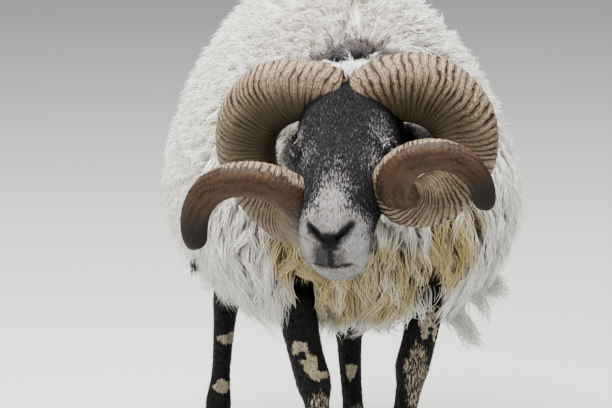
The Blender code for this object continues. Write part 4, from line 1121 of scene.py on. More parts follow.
# Loose locks: root, the way they hang, their length and how far their strands spread
LOOSE_LOCKS = (
    ((0.134, -0.240, 0.400), (0.06, 0.05, -1.00), 0.100, 0.030),
    ((0.150, -0.225, 0.405), (0.14, 0.05, -1.00), 0.105, 0.030),
    ((0.166, -0.210, 0.400), (0.24, 0.10, -0.95), 0.090, 0.024),
    ((0.156, -0.240, 0.330), (0.55, 0.00, -0.80), 0.066, 0.016),
    ((0.205, -0.160, 0.380), (0.90, 0.05, -0.50), 0.056, 0.010),
    ((0.195, -0.180, 0.365), (0.75, 0.05, -0.66), 0.050, 0.010),
    ((-0.142, -0.335, 0.445), (-0.02, -0.10, -1.00), 0.085, 0.026),
    ((-0.122, -0.350, 0.440), (0.06, -0.10, -1.00), 0.090, 0.022),
)


def step_between(values, low, high):
    """Rise smoothly from 0 to 1 as values pass from one limit to another."""
    share = np.clip((values - low) / (high - low), 0.0, 1.0)
    return share * share * (3 - 2 * share)


def unit(vectors):
    """Return vectors of length one."""
    return vectors / np.maximum(np.linalg.norm(vectors, axis=1), 1e-9)[:, None]


def dot(first, second):
    """Return the products of rows of vectors, as a column."""
    return (first * second).sum(axis=1)[:, None]


def laid(way, out):
    """Return ways turned so that they lie along a surface that faces out."""
    return unit(way - out * dot(way, out) + 1e-6)


def roots_on(read_point, spacing, draw, grid_size=(90, 120), ends=(-0.995, 0.995)):
    """Return evenly spread roots on a form, with the way out and the place on its unwrap."""
    rows, columns = grid_size
    along = np.linspace(*ends, rows)
    turns = np.linspace(0, 2 * math.pi, columns)
    grid = np.array([[read_point(share, angle) for angle in turns] for share in along])
    down, right = grid[1:, :-1] - grid[:-1, :-1], grid[:-1, 1:] - grid[:-1, :-1]
    facing = np.cross(down, right)
    area = np.linalg.norm(facing, axis=2)
    tries = int(3.2 * area.sum() / spacing ** 2) + 50
    cells = draw.choice(area.size, tries, p=(area / area.sum()).ravel())
    row, column = cells // area.shape[1], cells % area.shape[1]
    f, g = draw.random(tries), draw.random(tries)
    corner = grid[row, column]
    points = corner + down[row, column] * f[:, None] + right[row, column] * g[:, None]
    out = unit(facing[row, column])
    middle = grid.mean(axis=1)[row]
    out *= np.sign(dot(out, points - middle))
    spots = np.stack([(column + g) / (columns - 1), (row + f) / (rows - 1)], axis=1)
    kept, cells = [], {}
    for k, key in enumerate(map(tuple, np.floor(points / spacing).astype(int))):
        near = [
            other
            for i in (-1, 0, 1)
            for j in (-1, 0, 1)
            for h in (-1, 0, 1)
            for other in cells.get((key[0] + i, key[1] + j, key[2] + h), ())
        ]
        if all(((points[k] - points[other]) ** 2).sum() > spacing ** 2 for other in near):
            cells.setdefault(key, []).append(k)
            kept.append(k)
    return points[kept], out[kept], spots[kept]


def lie_on(out, points, draw, back=0.35, outward=0.3, loose=0.0):
    """Return the way that wool lies: down and back, and outwards from the spine."""
    way = np.stack([
        np.tanh(points[:, 0] / 0.09) * outward * np.clip(out[:, 2], 0, 1),
        np.full(len(out), back),
        np.full(len(out), -0.9),
    ], axis=1)
    way += draw.normal(0, 1, way.shape) * np.broadcast_to(loose, (len(out),))[:, None]
    return laid(way, out)


def grow(points, out, spots, lie, draw, form, count):
    """Grow a lock at each root, and return the arrays that make its strands."""
    n = len(points)
    side = np.cross(lie, out)
    bend = draw.normal(0, form["bend"], n)[:, None] * side
    height = form["lift"] * draw.uniform(0.75, 1.15, n)
    length = form["length"] * draw.uniform(0.8, 1.2, n)
    tip = out * (height * form["tip"])[:, None] + lie * length[:, None] + bend
    tip[:, 2] -= form["sag"] * length
    height, length = height[:, None, None], length[:, None, None]
    turn = draw.uniform(0, 2 * math.pi, (n, count))
    far = np.sqrt(draw.random((n, count))) * form["spread"]
    off = side[:, None] * (np.cos(turn) * far)[..., None] + lie[:, None] * (np.sin(turn) * far)[..., None]
    base = points[:, None] + off
    shorter = draw.uniform(0.72, 1.08, (n, count))[..., None]
    end = base + (tip[:, None] - off * form["gather"]) * shorter
    end += draw.normal(0, form["stray"], (n, count, 3))
    first = base + out[:, None] * height * 0.80 + lie[:, None] * length * 0.06
    second = base * 0.5 + end * 0.5 + out[:, None] * height * 0.60
    root = base - out[:, None] * form["depth"]
    phase = draw.uniform(0, 2 * math.pi, n)[:, None] + draw.normal(0, 0.5, (n, count))
    shade = np.repeat(draw.random(n), count) * 0.6 + draw.random(n * count) * 0.4
    return {
        "path": [a.reshape(-1, 3) for a in (root, first, second, end)],
        "side": np.repeat(side, count, axis=0),
        "out": np.repeat(out, count, axis=0),
        "phase": phase.ravel(),
        "wave": np.repeat(form["wave"] * draw.uniform(0.6, 1.4, n), count),
        "waves": np.repeat(np.broadcast_to(form["waves"], (n,)), count),
        "breadth": np.repeat(form["breadth"] * draw.uniform(0.85, 1.15, n), count),
        "shade": shade,
        "tone": np.repeat(draw.random(n), count),
        "spot": np.repeat(spots, count, axis=0),
    }


def chosen(growth, mask):
    """Return the strands of a growth that a mask picks."""
    found = {key: value[mask] for key, value in growth.items() if key != "path"}
    found["path"] = [value[mask] for value in growth["path"]]
    return found


def make_coat(name, growth, finish, levels):
    """Make one coat piece: each strand a thin closed blade with three sides and a tip."""
    count = len(growth["phase"])
    rows, alongs = [], []
    p0, p1, p2, p3 = growth["path"]
    side, out = growth["side"], growth["out"]
    for t in np.linspace(0, 1, levels + 1):
        centre = p0 * (1 - t) ** 3 + p1 * 3 * t * (1 - t) ** 2 + p2 * 3 * t * t * (1 - t) + p3 * t ** 3
        turned = growth["phase"] + 2 * math.pi * growth["waves"] * t
        sway = np.sin(turned) * growth["wave"] * t
        dip = np.cos(turned) * growth["wave"] * t * 0.5
        centre = centre + side * sway[:, None] + out * dip[:, None]
        if t == 1:
            rows.append(centre)
            alongs.append(np.full(count, t))
            continue
        tangent = (p1 - p0) * 3 * (1 - t) ** 2 + (p2 - p1) * 6 * t * (1 - t) + (p3 - p2) * 3 * t * t
        tangent = unit(tangent + 1e-6)
        up = unit(np.cross(side, tangent) + 1e-6)
        broad = (growth["breadth"] * (1 - 0.55 * t ** 1.5))[:, None]
        for c, s in ((-1.0, -0.35), (1.0, -0.35), (0.0, 0.7)):
            rows.append(centre + side * broad * c + up * broad * s)
            alongs.append(np.full(count, t))
    points = np.stack(rows, axis=1)
    along = np.stack(alongs, axis=1)
    pattern = [(0, 2, 1)]
    for level in range(levels - 1):
        for k in range(3):
            a, b = level * 3 + k, level * 3 + (k + 1) % 3
            pattern += [(a, b, b + 3), (a, b + 3, a + 3)]
    top = (levels - 1) * 3
    pattern += [(top + k, top + (k + 1) % 3, levels * 3) for k in range(3)]
    pattern = np.array(pattern)
    width = points.shape[1]
    triangles = (pattern[None] + (np.arange(count) * width)[:, None, None]).reshape(-1, 3)
    mesh = bpy.data.meshes.new(name)
    mesh.vertices.add(count * width)
    mesh.vertices.foreach_set("co", (points.reshape(-1, 3) + np.array(SHIFT)).astype(np.float32).ravel())
    mesh.loops.add(triangles.size)
    mesh.loops.foreach_set("vertex_index", triangles.astype(np.int32).ravel())
    mesh.polygons.add(len(triangles))
    mesh.polygons.foreach_set("loop_start", np.arange(0, triangles.size, 3, dtype=np.int32))
    mesh.polygons.foreach_set("use_smooth", np.ones(len(triangles), bool))
    mesh.update(calc_edges=True)
    found = {key: np.repeat(growth[key], width) for key in ("shade", "tone")}
    for key, values in (*found.items(), ("along", along.ravel())):
        attribute = mesh.attributes.new(key, "FLOAT", "POINT")
        attribute.data.foreach_set("value", values.astype(np.float32))
    across = np.tile(np.array([0.0, 1.0, 0.5] * levels + [0.5]), count)
    flat = np.stack([across, along.ravel()], axis=1) * UV_PATCH
    flat += np.repeat(growth["spot"] * (1 - UV_PATCH), width, axis=0)
    layer = mesh.uv_layers.new(name="OFBake")
    layer.data.foreach_set("uv", flat[triangles.ravel()].astype(np.float32).ravel())
    mesh.materials.append(finish)
    piece = bpy.data.objects.new(name, mesh)
    bpy.context.scene.collection.objects.link(piece)
    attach(piece, "root")


def kept_value(tree, name, output="Fac"):
    """Return a value that is kept on the points of a piece."""
    return node(tree, "Attribute", attribute_name=name).outputs[output]


def trunk_zones(points, out):
    """Return how far roots on the trunk lie on its top, at its chest and on its underside."""
    top = step_between(out[:, 2], 0.35, 0.80)
    front = step_between(-points[:, 1], 0.20, 0.32) * (1 - top) * step_between(0.66 - points[:, 2], 0.0, 0.1)
    under = step_between(-out[:, 2], 0.30, 0.80)
    return top, front, under


wool_finish, tree, shader = new_finish("wool", Roughness=0.9, Specular_IOR_Level=0.1, Sheen_Weight=0.15)
found = {key: kept_value(tree, key.lower()) for key in ("Along", "Shade", "Tone")}
finish_with(tree, shader, placed_colour(tree, wool_colours, found))

draw = np.random.default_rng(COAT_SEED)
thin = 1.0
points, out, spots = roots_on(torso_point, FLEECE_SPACING, draw)
top, front, under = trunk_zones(points, out)
flank = step_between(0.56 - points[:, 2], 0.0, 0.14) * (1 - under)
hem = step_between(0.43 - points[:, 2], 0.0, 0.05) * step_between(np.abs(points[:, 0]), 0.09, 0.14)
form = {
    "lift": 0.030 - 0.006 * under,
    "length": 0.028 - 0.004 * top + 0.018 * flank + (0.028 + 0.022 * (points[:, 0] < 0)) * hem,
    "tip": 0.94 + 0.08 * top,
    "bend": 0.008,
    "sag": 0.05 + 0.15 * flank + 0.30 * hem,
    "depth": 0.004,
    "spread": 0.0078,
    "gather": 0.58,
    "stray": 0.0042,
    "wave": 0.0030,
    "waves": 1.8,
    "breadth": 0.00080,
}
lie = lie_on(out, points, draw, 0.35, 0.3, 0.42 - 0.22 * flank)
count = int(FLEECE_STRANDS * thin)
growth = grow(points, out, spots, lie, draw, form, count)
growth = chosen(growth, np.repeat(front < 0.5, count))
roots = growth["path"][0]
zones = {
    "shoulders": roots[:, 1] < -0.20,
    "rump": roots[:, 1] > 0.24,
    "back": roots[:, 2] > 0.72,
    "belly": roots[:, 2] < 0.37,
    "right": roots[:, 0] < 0,
    "left": roots[:, 0] >= 0,
}
used = np.zeros(len(roots), bool)
for label, zone in zones.items():
    make_coat("wool_" + label, chosen(growth, zone & ~used), wool_finish, 3)
    used |= zone

points, out, spots = roots_on(torso_point, CHEST_SPACING, draw)
top, front, under = trunk_zones(points, out)
woolly = off_bare_tops(points, CHEST_DROP) + draw.normal(0, RAGGED_EDGE, len(points)) > 1
points, out, spots, under = [values[(front > 0.5) & woolly] for values in (points, out, spots, under)]
form = dict(
    form,
    lift=0.037 - 0.008 * under,
    length=0.056,
    tip=0.62,
    bend=0.013,
    sag=0.10 + 0.40 * under,
    spread=0.0120,
    gather=0.80,
    stray=0.0040,
    wave=0.0036,
    waves=2.2,
    breadth=0.00095,
)
lie = lie_on(out, points, draw, -0.10, 0.3, 0.22)
growth = grow(points, out, spots, lie, draw, form, int(CHEST_STRANDS * thin))
left = growth["path"][0][:, 0] > 0
make_coat("wool_chest_left", chosen(growth, left), wool_finish, 5)
make_coat("wool_chest_right", chosen(growth, ~left), wool_finish, 5)


def off_nape(points):
    """Return how far points lie from the middle of the dark nape, with a ragged edge."""
    off = (points[:, :2] - NAPE_MIDDLE) / NAPE_SIZE
    return np.hypot(off[:, 0], off[:, 1]) + draw.normal(0, RAGGED_EDGE, len(points))


points, out, spots = roots_on(neck_point, NECK_SPACING, draw, NECK_GRID)
clear = points[:, 1] + NECK_WOOL_LEAN * (points[:, 2] - NECK_WOOL_HEIGHT) < NECK_WOOL_PLACE
clear &= (off_nape(points) > NAPE_WOOL_FROM) | (out[:, 2] < NAPE_WOOL_UP)
points, out, spots = points[clear], out[clear], spots[clear]
form = dict(form, lift=0.026, length=0.036, tip=0.9, bend=0.008, sag=0.1, spread=0.008, gather=0.6)
form = dict(form, wave=0.0026, breadth=0.00085)
lie = lie_on(out, points, draw, 0.9, 0.3, 0.3)
growth = grow(points, out, spots, lie, draw, form, int(FLEECE_STRANDS * thin))
make_coat("wool_neck", growth, wool_finish, 3)

roots = np.array([lock[0] for lock in LOOSE_LOCKS])
lie = unit(np.array([lock[1] for lock in LOOSE_LOCKS]))
out = unit(np.tile((0.2, -1.0, 0.0), (len(LOOSE_LOCKS), 1)))
form = dict(form, lift=0.010, tip=0.5, bend=0.010, sag=0.0, gather=0.70, wave=0.0050, breadth=0.00075)
form["stray"] = 0.0085
form["length"] = np.array([lock[2] for lock in LOOSE_LOCKS])
form["spread"] = np.array([lock[3] for lock in LOOSE_LOCKS])[:, None]
growth = grow(roots, out, np.full((len(roots), 2), 0.5), lie, draw, form, int(LOOSE_STRANDS * thin))
make_coat("wool_loose", growth, wool_finish, 6)


def tail_point(share, angle):
    """Return a point of the tail's skin, from share -1 at its root to 1 at its tip."""
    place = tail_end / 2 + tail_end / 2 * share
    *centre, half_across, half_back = read_stations(tail_curve, place)
    after = read_stations(tail_curve, min(place + 0.2, tail_end))
    before = read_stations(tail_curve, max(place - 0.2, 0))
    step = (Vector(after[:3]) - Vector(before[:3])).normalized()
    across = TAIL_AHEAD.cross(step).normalized()
    forward = step.cross(across)
    off = across * (half_across * math.cos(angle))
    return Vector(centre) + off + forward * (half_back * math.sin(angle))


points, out, spots = roots_on(tail_point, TAIL_SPACING, draw, TAIL_GRID, TAIL_SPAN)
form = dict(form, lift=0.018, length=0.066, tip=0.7, sag=0.25, spread=0.009, stray=0.004, wave=0.0035)
lie = lie_on(out, points, draw, 0.05, 0.3, 0.15)
growth = grow(points, out, spots, lie, draw, form, int(TAIL_STRANDS * thin))
make_coat("wool_tail", growth, wool_finish, 4)


# The short hair: fine hairs that lie close on the face, ears and legs, white locks on the
# poll, dark locks with brown tips at the nape, and a small dark lock at the right flank.
HAIR_SEED = 5
FACE_HAIRS = 44000
EAR_HAIRS = 8000
LEG_HAIRS = 30000
POLL_LOCKS = 150
POLL_STRANDS = 16
NAPE_SPACING = 0.0072
NAPE_STRANDS = 18
NAPE_HAIR_TO = 1.05
NAPE_HAIR_UP = 0.40
NOSE_TIP = (-0.008, -0.185, -0.030)
EYE_CLEAR = 0.0215
FACE_HAIR_TOP = 0.112
# The poll in the face's frame: where it starts, its half width and its lower limit
POLL_FROM = 0.100
POLL_HALF = 0.050
POLL_UNDER = -0.080
NAPE_GREY = (0.040, 0.041, 0.047)
NAPE_PALE = (0.17, 0.17, 0.185)
NAPE_TIP = (0.20, 0.145, 0.115)
TAG_ROOT = (-0.234, -0.120, 0.410)
TAG_FACING = (-0.9, -0.4, 0.0)
TAG_WAY = (0.25, 0.1, -1.0)
TAG_STRANDS = 70

draw = np.random.default_rng(HAIR_SEED)
faces_area = of_faces("area", 1)[:, 0]
faces_out = of_faces("normal", 3).astype(float)
face_turn = np.array(FACE_TURN.to_matrix())
eye_middles = [np.array(eye_middle(sign)) for sign in (1, -1)]


def off_eyes(places):
    """Return how far places in the face's frame lie from the nearer eye."""
    return np.min([np.linalg.norm(places - middle, axis=1) for middle in eye_middles], axis=0)


def hairs_on(mask, count):
    """Return roots spread by area over the skin's faces in a mask, and where they are."""
    weight = faces_area * mask
    picked = draw.choice(len(weight), int(round(count * thin)), p=weight / weight.sum())
    out = faces_out[picked]
    off = draw.uniform(-0.5, 0.5, (len(picked), 3)) * np.sqrt(faces_area[picked])[:, None]
    points = faces[picked] + off - out * dot(off, out)
    return points, out, local[picked]


def short_hair(name, mask, count, way_of, finish, slot, form):
    """Cover part of the skin with hairs that lie along a way."""
    points, out, places = hairs_on(mask, count)
    lie = laid(way_of(points, places) + draw.normal(0, form["loose"], points.shape), out)
    length = np.full(len(points), form["length"])
    if slot == "leg_hair":
        turn = np.arctan2(points[:, 0] % 0.1 - 0.05, points[:, 1] % 0.2 - 0.1) / (2 * math.pi) + 0.5
        spots = np.stack([0.5 + turn * 0.45, np.clip(points[:, 2] / 0.5, 0, 1)], axis=1)
    else:
        turn = np.arctan2(places[:, 2] + 0.05, places[:, 0]) / (2 * math.pi) + 0.5
        spots = np.stack([turn * 0.45, np.clip((places[:, 1] + 0.18) / 0.34, 0, 1)], axis=1)
        length *= 0.55 + 0.45 * step_between(places[:, 1], -0.13, -0.06)
        length *= 1 + form["crown"] * step_between(places[:, 1], -0.02, 0.07)
        length *= 0.35 + 0.65 * step_between(off_eyes(places), 0.020, 0.045)
    growth = grow(points, out, spots, lie, draw, dict(form, length=length), 1)
    make_coat(name, growth, finish, 1)


def hair_finish(name, group, roughness):
    """Material of short hair, coloured by its markings and darker at the root, a painted shade near the skin.
    """
    finish, tree, shader = new_finish(name, Roughness=roughness, Specular_IOR_Level=0.3)
    colour = placed_colour(tree, group, {"Grain": kept_value(tree, "shade"), "Soft": 0.12})
    # Painted shade: each hair darkens towards its root
    value = fade(tree, kept_value(tree, "along"), 0.0, 0.6, 0.55, 1.0)
    bright = node(tree, "HueSaturation", {"Value": value, "Color": colour}).outputs[0]
    finish_with(tree, shader, bright)
    return finish


face_hair = hair_finish("face hair", face_markings, 0.55)
leg_hair = hair_finish("leg hair", leg_markings, 0.5)

ear_hair, tree, shader = new_finish("ear hair", Roughness=0.6, Specular_IOR_Level=0.3)
finish_with(tree, shader, ear_colour(tree, fade(tree, kept_value(tree, "shade"), 0.3, 0.8, 0.0, 1.0)))

nape_hair, tree, shader = new_finish("nape hair", Roughness=0.7, Specular_IOR_Level=0.2)
tip = blended(tree, fade(tree, kept_value(tree, "tone"), 0.4, 0.6, 0.0, 1.0), NAPE_PALE, NAPE_TIP)
outward = fade(tree, kept_value(tree, "along"), 0.40, 1.0, 0.0, 1.0)
finish_with(tree, shader, blended(tree, outward, NAPE_GREY, tip))

form = {
    "lift": 0.0026,
    "length": 0.0085,
    "tip": 0.60,
    "bend": 0.0012,
    "sag": 0.0,
    "depth": 0.0005,
    "spread": 0.0003,
    "gather": 0.0,
    "stray": 0.0005,
    "wave": 0.0002,
    "waves": 0.5,
    "breadth": 0.00042,
    "loose": 0.16,
    "crown": 0.8,
}


def from_nose(points, places):
    """Return the way face hair lies: away from the tip of the nose."""
    return unit(places - np.array(NOSE_TIP)) @ face_turn.T


def down_leg(points, places):
    """Return the way leg hair lies: down and a little back."""
    return np.tile((0.0, 0.15, -1.0), (len(points), 1))


def up_nape(points, places):
    """Return the way the hair of the poll and nape stands: up and back."""
    return np.tile((0.1, 0.5, 0.8), (len(points), 1)) + points * (2.0, 0.0, 0.0)


on_poll = on_head & (local[:, 1] > POLL_FROM) & (np.abs(local[:, 0]) < POLL_HALF) & (local[:, 2] > POLL_UNDER)
has_hair = on_head & ~on_ear & (local[:, 1] < FACE_HAIR_TOP) & (off_eyes(local) > EYE_CLEAR)
short_hair("hair_face", has_hair, FACE_HAIRS, from_nose, face_hair, "face_hair", form)
form = dict(form, length=0.019, lift=0.005, breadth=0.00046, loose=0.34, stray=0.0012, crown=0.0)
short_hair("hair_ears", on_ear, EAR_HAIRS, from_nose, ear_hair, "ear_hair", form)
form = dict(form, length=0.011, lift=0.0028, breadth=0.00048, loose=0.12, stray=0.0005)
short_hair("hair_legs", on_leg & (faces[:, 2] > SOLE_TOP), LEG_HAIRS, down_leg, leg_hair, "leg_hair", form)

points, out, places = hairs_on(on_poll, POLL_LOCKS / thin)
form = dict(form, lift=0.013, length=0.016, tip=1.0, stray=0.003, spread=0.006, gather=0.5, depth=0.003)
form = dict(form, wave=0.002, waves=1.2, bend=0.005, breadth=0.00075)
lie = laid(up_nape(points, places) + draw.normal(0, 0.4, points.shape), out)
growth = grow(points, out, np.full((len(points), 2), 0.5), lie, draw, form, int(POLL_STRANDS * thin))
make_coat("wool_poll", growth, wool_finish, 3)

points, out, spots = roots_on(neck_point, NAPE_SPACING, draw, NECK_GRID)
dark = (off_nape(points) < NAPE_HAIR_TO) & (out[:, 2] > NAPE_HAIR_UP)
points, out, spots = points[dark], out[dark], spots[dark]
form = dict(form, lift=0.026, length=0.020, stray=0.005, spread=0.0055, gather=0.4, breadth=0.00065)
lie = laid(up_nape(points, points) + draw.normal(0, 0.6, points.shape), out)
growth = grow(points, out, spots, lie, draw, form, int(NAPE_STRANDS * thin))
make_coat("hair_nape", growth, nape_hair, 3)

root, out, lie = [np.array([part], float) for part in (TAG_ROOT, TAG_FACING, TAG_WAY)]
form = dict(form, lift=0.016, length=0.030, spread=0.006, gather=0.5, breadth=0.0010)
growth = grow(root, unit(out), np.full((1, 2), 0.5), unit(lie), draw, form, int(TAG_STRANDS * thin))
make_coat("hair_tag", growth, leg_hair, 3)


# The eyes: wet dark amber balls, each a sphere set deep between the lids. Every point keeps
# the way it looks, so that the wide pupil stays level with the lids.
EYE_AMBER = (0.017, 0.0095, 0.0055)
EYE_RIM = (0.010, 0.007, 0.006)
EYE_PUPIL = (0.002, 0.002, 0.003)
PUPIL_HALF = (0.40, 0.20)

eye_finish, tree, shader = new_finish("eye", Roughness=0.06, Coat_Weight=1.0, Coat_Roughness=0.03)
split = node(tree, "SeparateXYZ", {0: kept_value(tree, "look", "Vector")})
wide, tall = [calc(tree, "DIVIDE", split.outputs[k], PUPIL_HALF[k]) for k in (0, 1)]
pupil = calc(tree, "ADD", calc(tree, "POWER", wide, 4.0), calc(tree, "POWER", tall, 4.0))
pupil = fade(tree, pupil, 0.8, 1.3, 1.0, 0.0)
flat = node(tree, "CombineXYZ", {0: split.outputs[0], 1: split.outputs[1]}).outputs[0]
far = node(tree, "VectorMath", {0: flat}, operation="LENGTH").outputs["Value"]
rim = fade(tree, far, 0.52, 0.68, 0.0, 1.0)
finish_with(tree, shader, blended(tree, pupil, blended(tree, rim, EYE_AMBER, EYE_RIM), EYE_PUPIL))

for side, sign in (("left", 1), ("right", -1)):
    ways = eye_ways(sign)
    centre = eye_middle(sign)
    eye = ball("eye_ball_" + side, centre, (ways[1], ways[2], ways[0]), (EYE_RADIUS * 0.995,) * 3)
    looks = []
    for vertex in eye.data.vertices:
        off = (vertex.co - centre) / EYE_RADIUS
        looks += [off.dot(ways[1]), off.dot(ways[2]), off.dot(ways[0])]
    attribute = eye.data.attributes.new("look", "FLOAT_VECTOR", "POINT")
    attribute.data.foreach_set("vector", looks)
    eye.data.transform(Matrix.Translation(SHIFT) @ FACE_MATRIX)
    eye.data.materials.append(eye_finish)
    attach(eye, "root")
    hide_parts("eye_" + side)


# The horns: hollow sheaths of ringed horn over bone, thick at the brow, wound back, down,
# forward and out to a blunt tip, ribbed near the root and worn smooth towards the tip.
HORN_FORMS = {
    "left": {
        "centre": Vector((0.0795, 0.0620, -0.0630)),
        "axis_out": 51.7,
        "axis_dip": 50.2,
        "radius": 0.0768,
        "shrink": 0.299,
        "advance": Vector((0.0616, -0.1194, 0.0627)),
        "start": -67.0,
        "turn": 506.0,
        "heft": 1.0,
        "tip_heft": 1.0,
    },
    "right": {
        "centre": Vector((0.0690, 0.0630, -0.0784)),
        "axis_out": 45.8,
        "axis_dip": 59.8,
        "radius": 0.0892,
        "shrink": 0.272,
        "advance": Vector((0.0694, -0.1474, 0.0436)),
        "start": -59.6,
        "turn": 500.0,
        "heft": 0.92,
        "tip_heft": 1.16,
    },
}
HORN_SUNK_TURN = 11.0
HORN_PARTING = 0.0055
HORN_STATIONS = (
    (0.00, 0.0480, 0.0340),
    (0.12, 0.0510, 0.0360),
    (0.35, 0.0430, 0.0350),
    (0.55, 0.0330, 0.0290),
    (0.75, 0.0235, 0.0210),
    (0.92, 0.0195, 0.0165),
    (0.975, 0.0172, 0.0145),
    (0.993, 0.0130, 0.0110),
    (1.00, 0.0070, 0.0060),
)
HORN_RINGS = 460
HORN_SIDES = 48
HORN_POWER = 2.2
HORN_KEEL = 0.10
HORN_KEEL_ANGLE = 36.0
RIB_SPACING = (0.0056, 0.0120)
RIB_DEPTH = 0.0028
HORN_TAN = (0.17, 0.125, 0.078)
HORN_PALE = (0.35, 0.295, 0.205)
HORN_RED = (0.11, 0.055, 0.032)
# Dark olive of the curl's inner side: partly the horn's own colour, partly painted shade
HORN_INNER_OLIVE_AND_SHADE = (0.062, 0.048, 0.024)
HORN_LINE = (0.026, 0.016, 0.010)
HORN_BROWN = (0.070, 0.040, 0.021)
HORN_DARK = (0.020, 0.011, 0.007)
HORN_TIP = (0.012, 0.009, 0.008)
# How the worn face spreads round the horn: its turn from the keel, then the share of the
# length and its edge
WORN_TURN = 20
WORN_EDGE = (
    (0.50, -1.3),
    (0.57, -0.7),
    (0.61, 0.20),
    (0.65, 0.46),
    (0.76, 0.50),
    (0.84, 0.68),
    (0.90, 1.00),
    (1.00, 1.50),
)

horn_finish, tree, shader = new_finish("horn", Specular_IOR_Level=0.28)
growth_number, share_along, edge, inner_side = [
    kept_value(tree, name) for name in ("growth", "along", "edge", "inner")
]
where = node(tree, "TexCoord").outputs["Object"]
wobble = noise_at(tree, where, 90.0)
fibre = noise_at(tree, where, 260.0, 4.0)
cloud = noise_at(tree, where, 30.0)
broken = noise_at(tree, where, 40.0)
number = calc(tree, "ADD", growth_number, calc(tree, "MULTIPLY", wobble, 0.60))
off_line = calc(tree, "ABSOLUTE", calc(tree, "SUBTRACT", calc(tree, "FRACT", number), 0.5))
thick = fade(tree, broken, 0.35, 0.65, 0.07, 0.25)
line = calc(tree, "SUBTRACT", 1.0, calc(tree, "DIVIDE", off_line, thick), clamp=True)
line = calc(tree, "MULTIPLY", fade(tree, line, 0.0, 0.5, 0.0, 1.0), fade(tree, cloud, 0.36, 0.60, 0.45, 1.0))
stained = fade(tree, off_line, 0.10, 0.36, 0.85, 0.0)
stained = calc(tree, "MULTIPLY", stained, fade(tree, cloud, 0.40, 0.62, 0.25, 1.0))
thirds = calc(tree, "FRACT", calc(tree, "MULTIPLY", number, 3.0))
thin_line = calc(tree, "ABSOLUTE", calc(tree, "SUBTRACT", thirds, 0.5))
thin_line = fade(tree, thin_line, 0.05, 0.30, 0.50, 0.0)
colour = blended(tree, fade(tree, fibre, 0.32, 0.66, 0.0, 1.0), HORN_TAN, HORN_PALE)
colour = blended(tree, stained, colour, HORN_RED)
colour = blended(tree, thin_line, colour, HORN_RED)
# The inner side of the curl darkens to olive towards the root: partly the horn's own olive, partly painted
# shade inside the curl
hollow = fade(tree, inner_side, -0.2, 0.8, 0.0, 1.0)
hollow = calc(tree, "MULTIPLY", hollow, fade(tree, share_along, 0.20, 0.36, 0.92, 0.40))
colour = blended(tree, hollow, colour, HORN_INNER_OLIVE_AND_SHADE)
colour = blended(tree, line, colour, HORN_LINE)
streak = noise_at(tree, kept_value(tree, "streak", "Vector"), 5.0, 4.0)
worn = blended(tree, fade(tree, streak, 0.35, 0.70, 0.0, 1.0), HORN_BROWN, HORN_DARK)
worn = blended(tree, fade(tree, cloud, 0.45, 0.75, 0.0, 0.35), worn, HORN_RED)
ragged = calc(tree, "ADD", edge, calc(tree, "MULTIPLY", calc(tree, "SUBTRACT", wobble, 0.5), 0.35))
bare = fade(tree, ragged, -0.04, 0.06, 0.0, 1.0)
colour = blended(tree, bare, colour, worn)
rim = calc(tree, "ABSOLUTE", calc(tree, "SUBTRACT", ragged, 0.05))
rim = calc(tree, "SUBTRACT", 1.0, calc(tree, "DIVIDE", rim, 0.16), clamp=True)
colour = blended(tree, calc(tree, "MULTIPLY", rim, 0.9), colour, HORN_LINE)
colour = blended(tree, fade(tree, share_along, 0.86, 0.965, 0.0, 0.95), colour, HORN_TIP)
tree.links.new(fade(tree, fibre, 0.3, 0.7, 0.50, 0.70), shader.inputs["Roughness"])
ridge = calc(tree, "MULTIPLY", calc(tree, "ADD", line, thin_line), calc(tree, "SUBTRACT", 1.0, bare))
height = calc(tree, "SUBTRACT", calc(tree, "MULTIPLY", fibre, 0.6), ridge)
finish_with(tree, shader, colour, bumped(tree, height, 0.8, 0.0014))


def horn_middle(form, sign, turned):
    """Return a point of the horn's middle line and the way out from its axis."""
    out, dip = math.radians(form["axis_out"]), math.radians(form["axis_dip"])
    axis = Vector((math.cos(dip) * math.cos(out), -math.sin(dip), math.cos(dip) * math.sin(out)))
    up = Vector((0, 1, 0))
    up = (up - axis * up.dot(axis)).normalized()
    side = up.cross(axis)
    angle = math.radians(turned + form["start"])
    turns = turned / 360.0
    radius = form["radius"] * math.exp(-form["shrink"] * max(turns, 0.0))
    outward = up * math.cos(angle) + side * math.sin(angle)
    point = form["centre"] + form["advance"] * turns + outward * radius
    point.x *= sign
    outward.x *= sign
    return point, outward


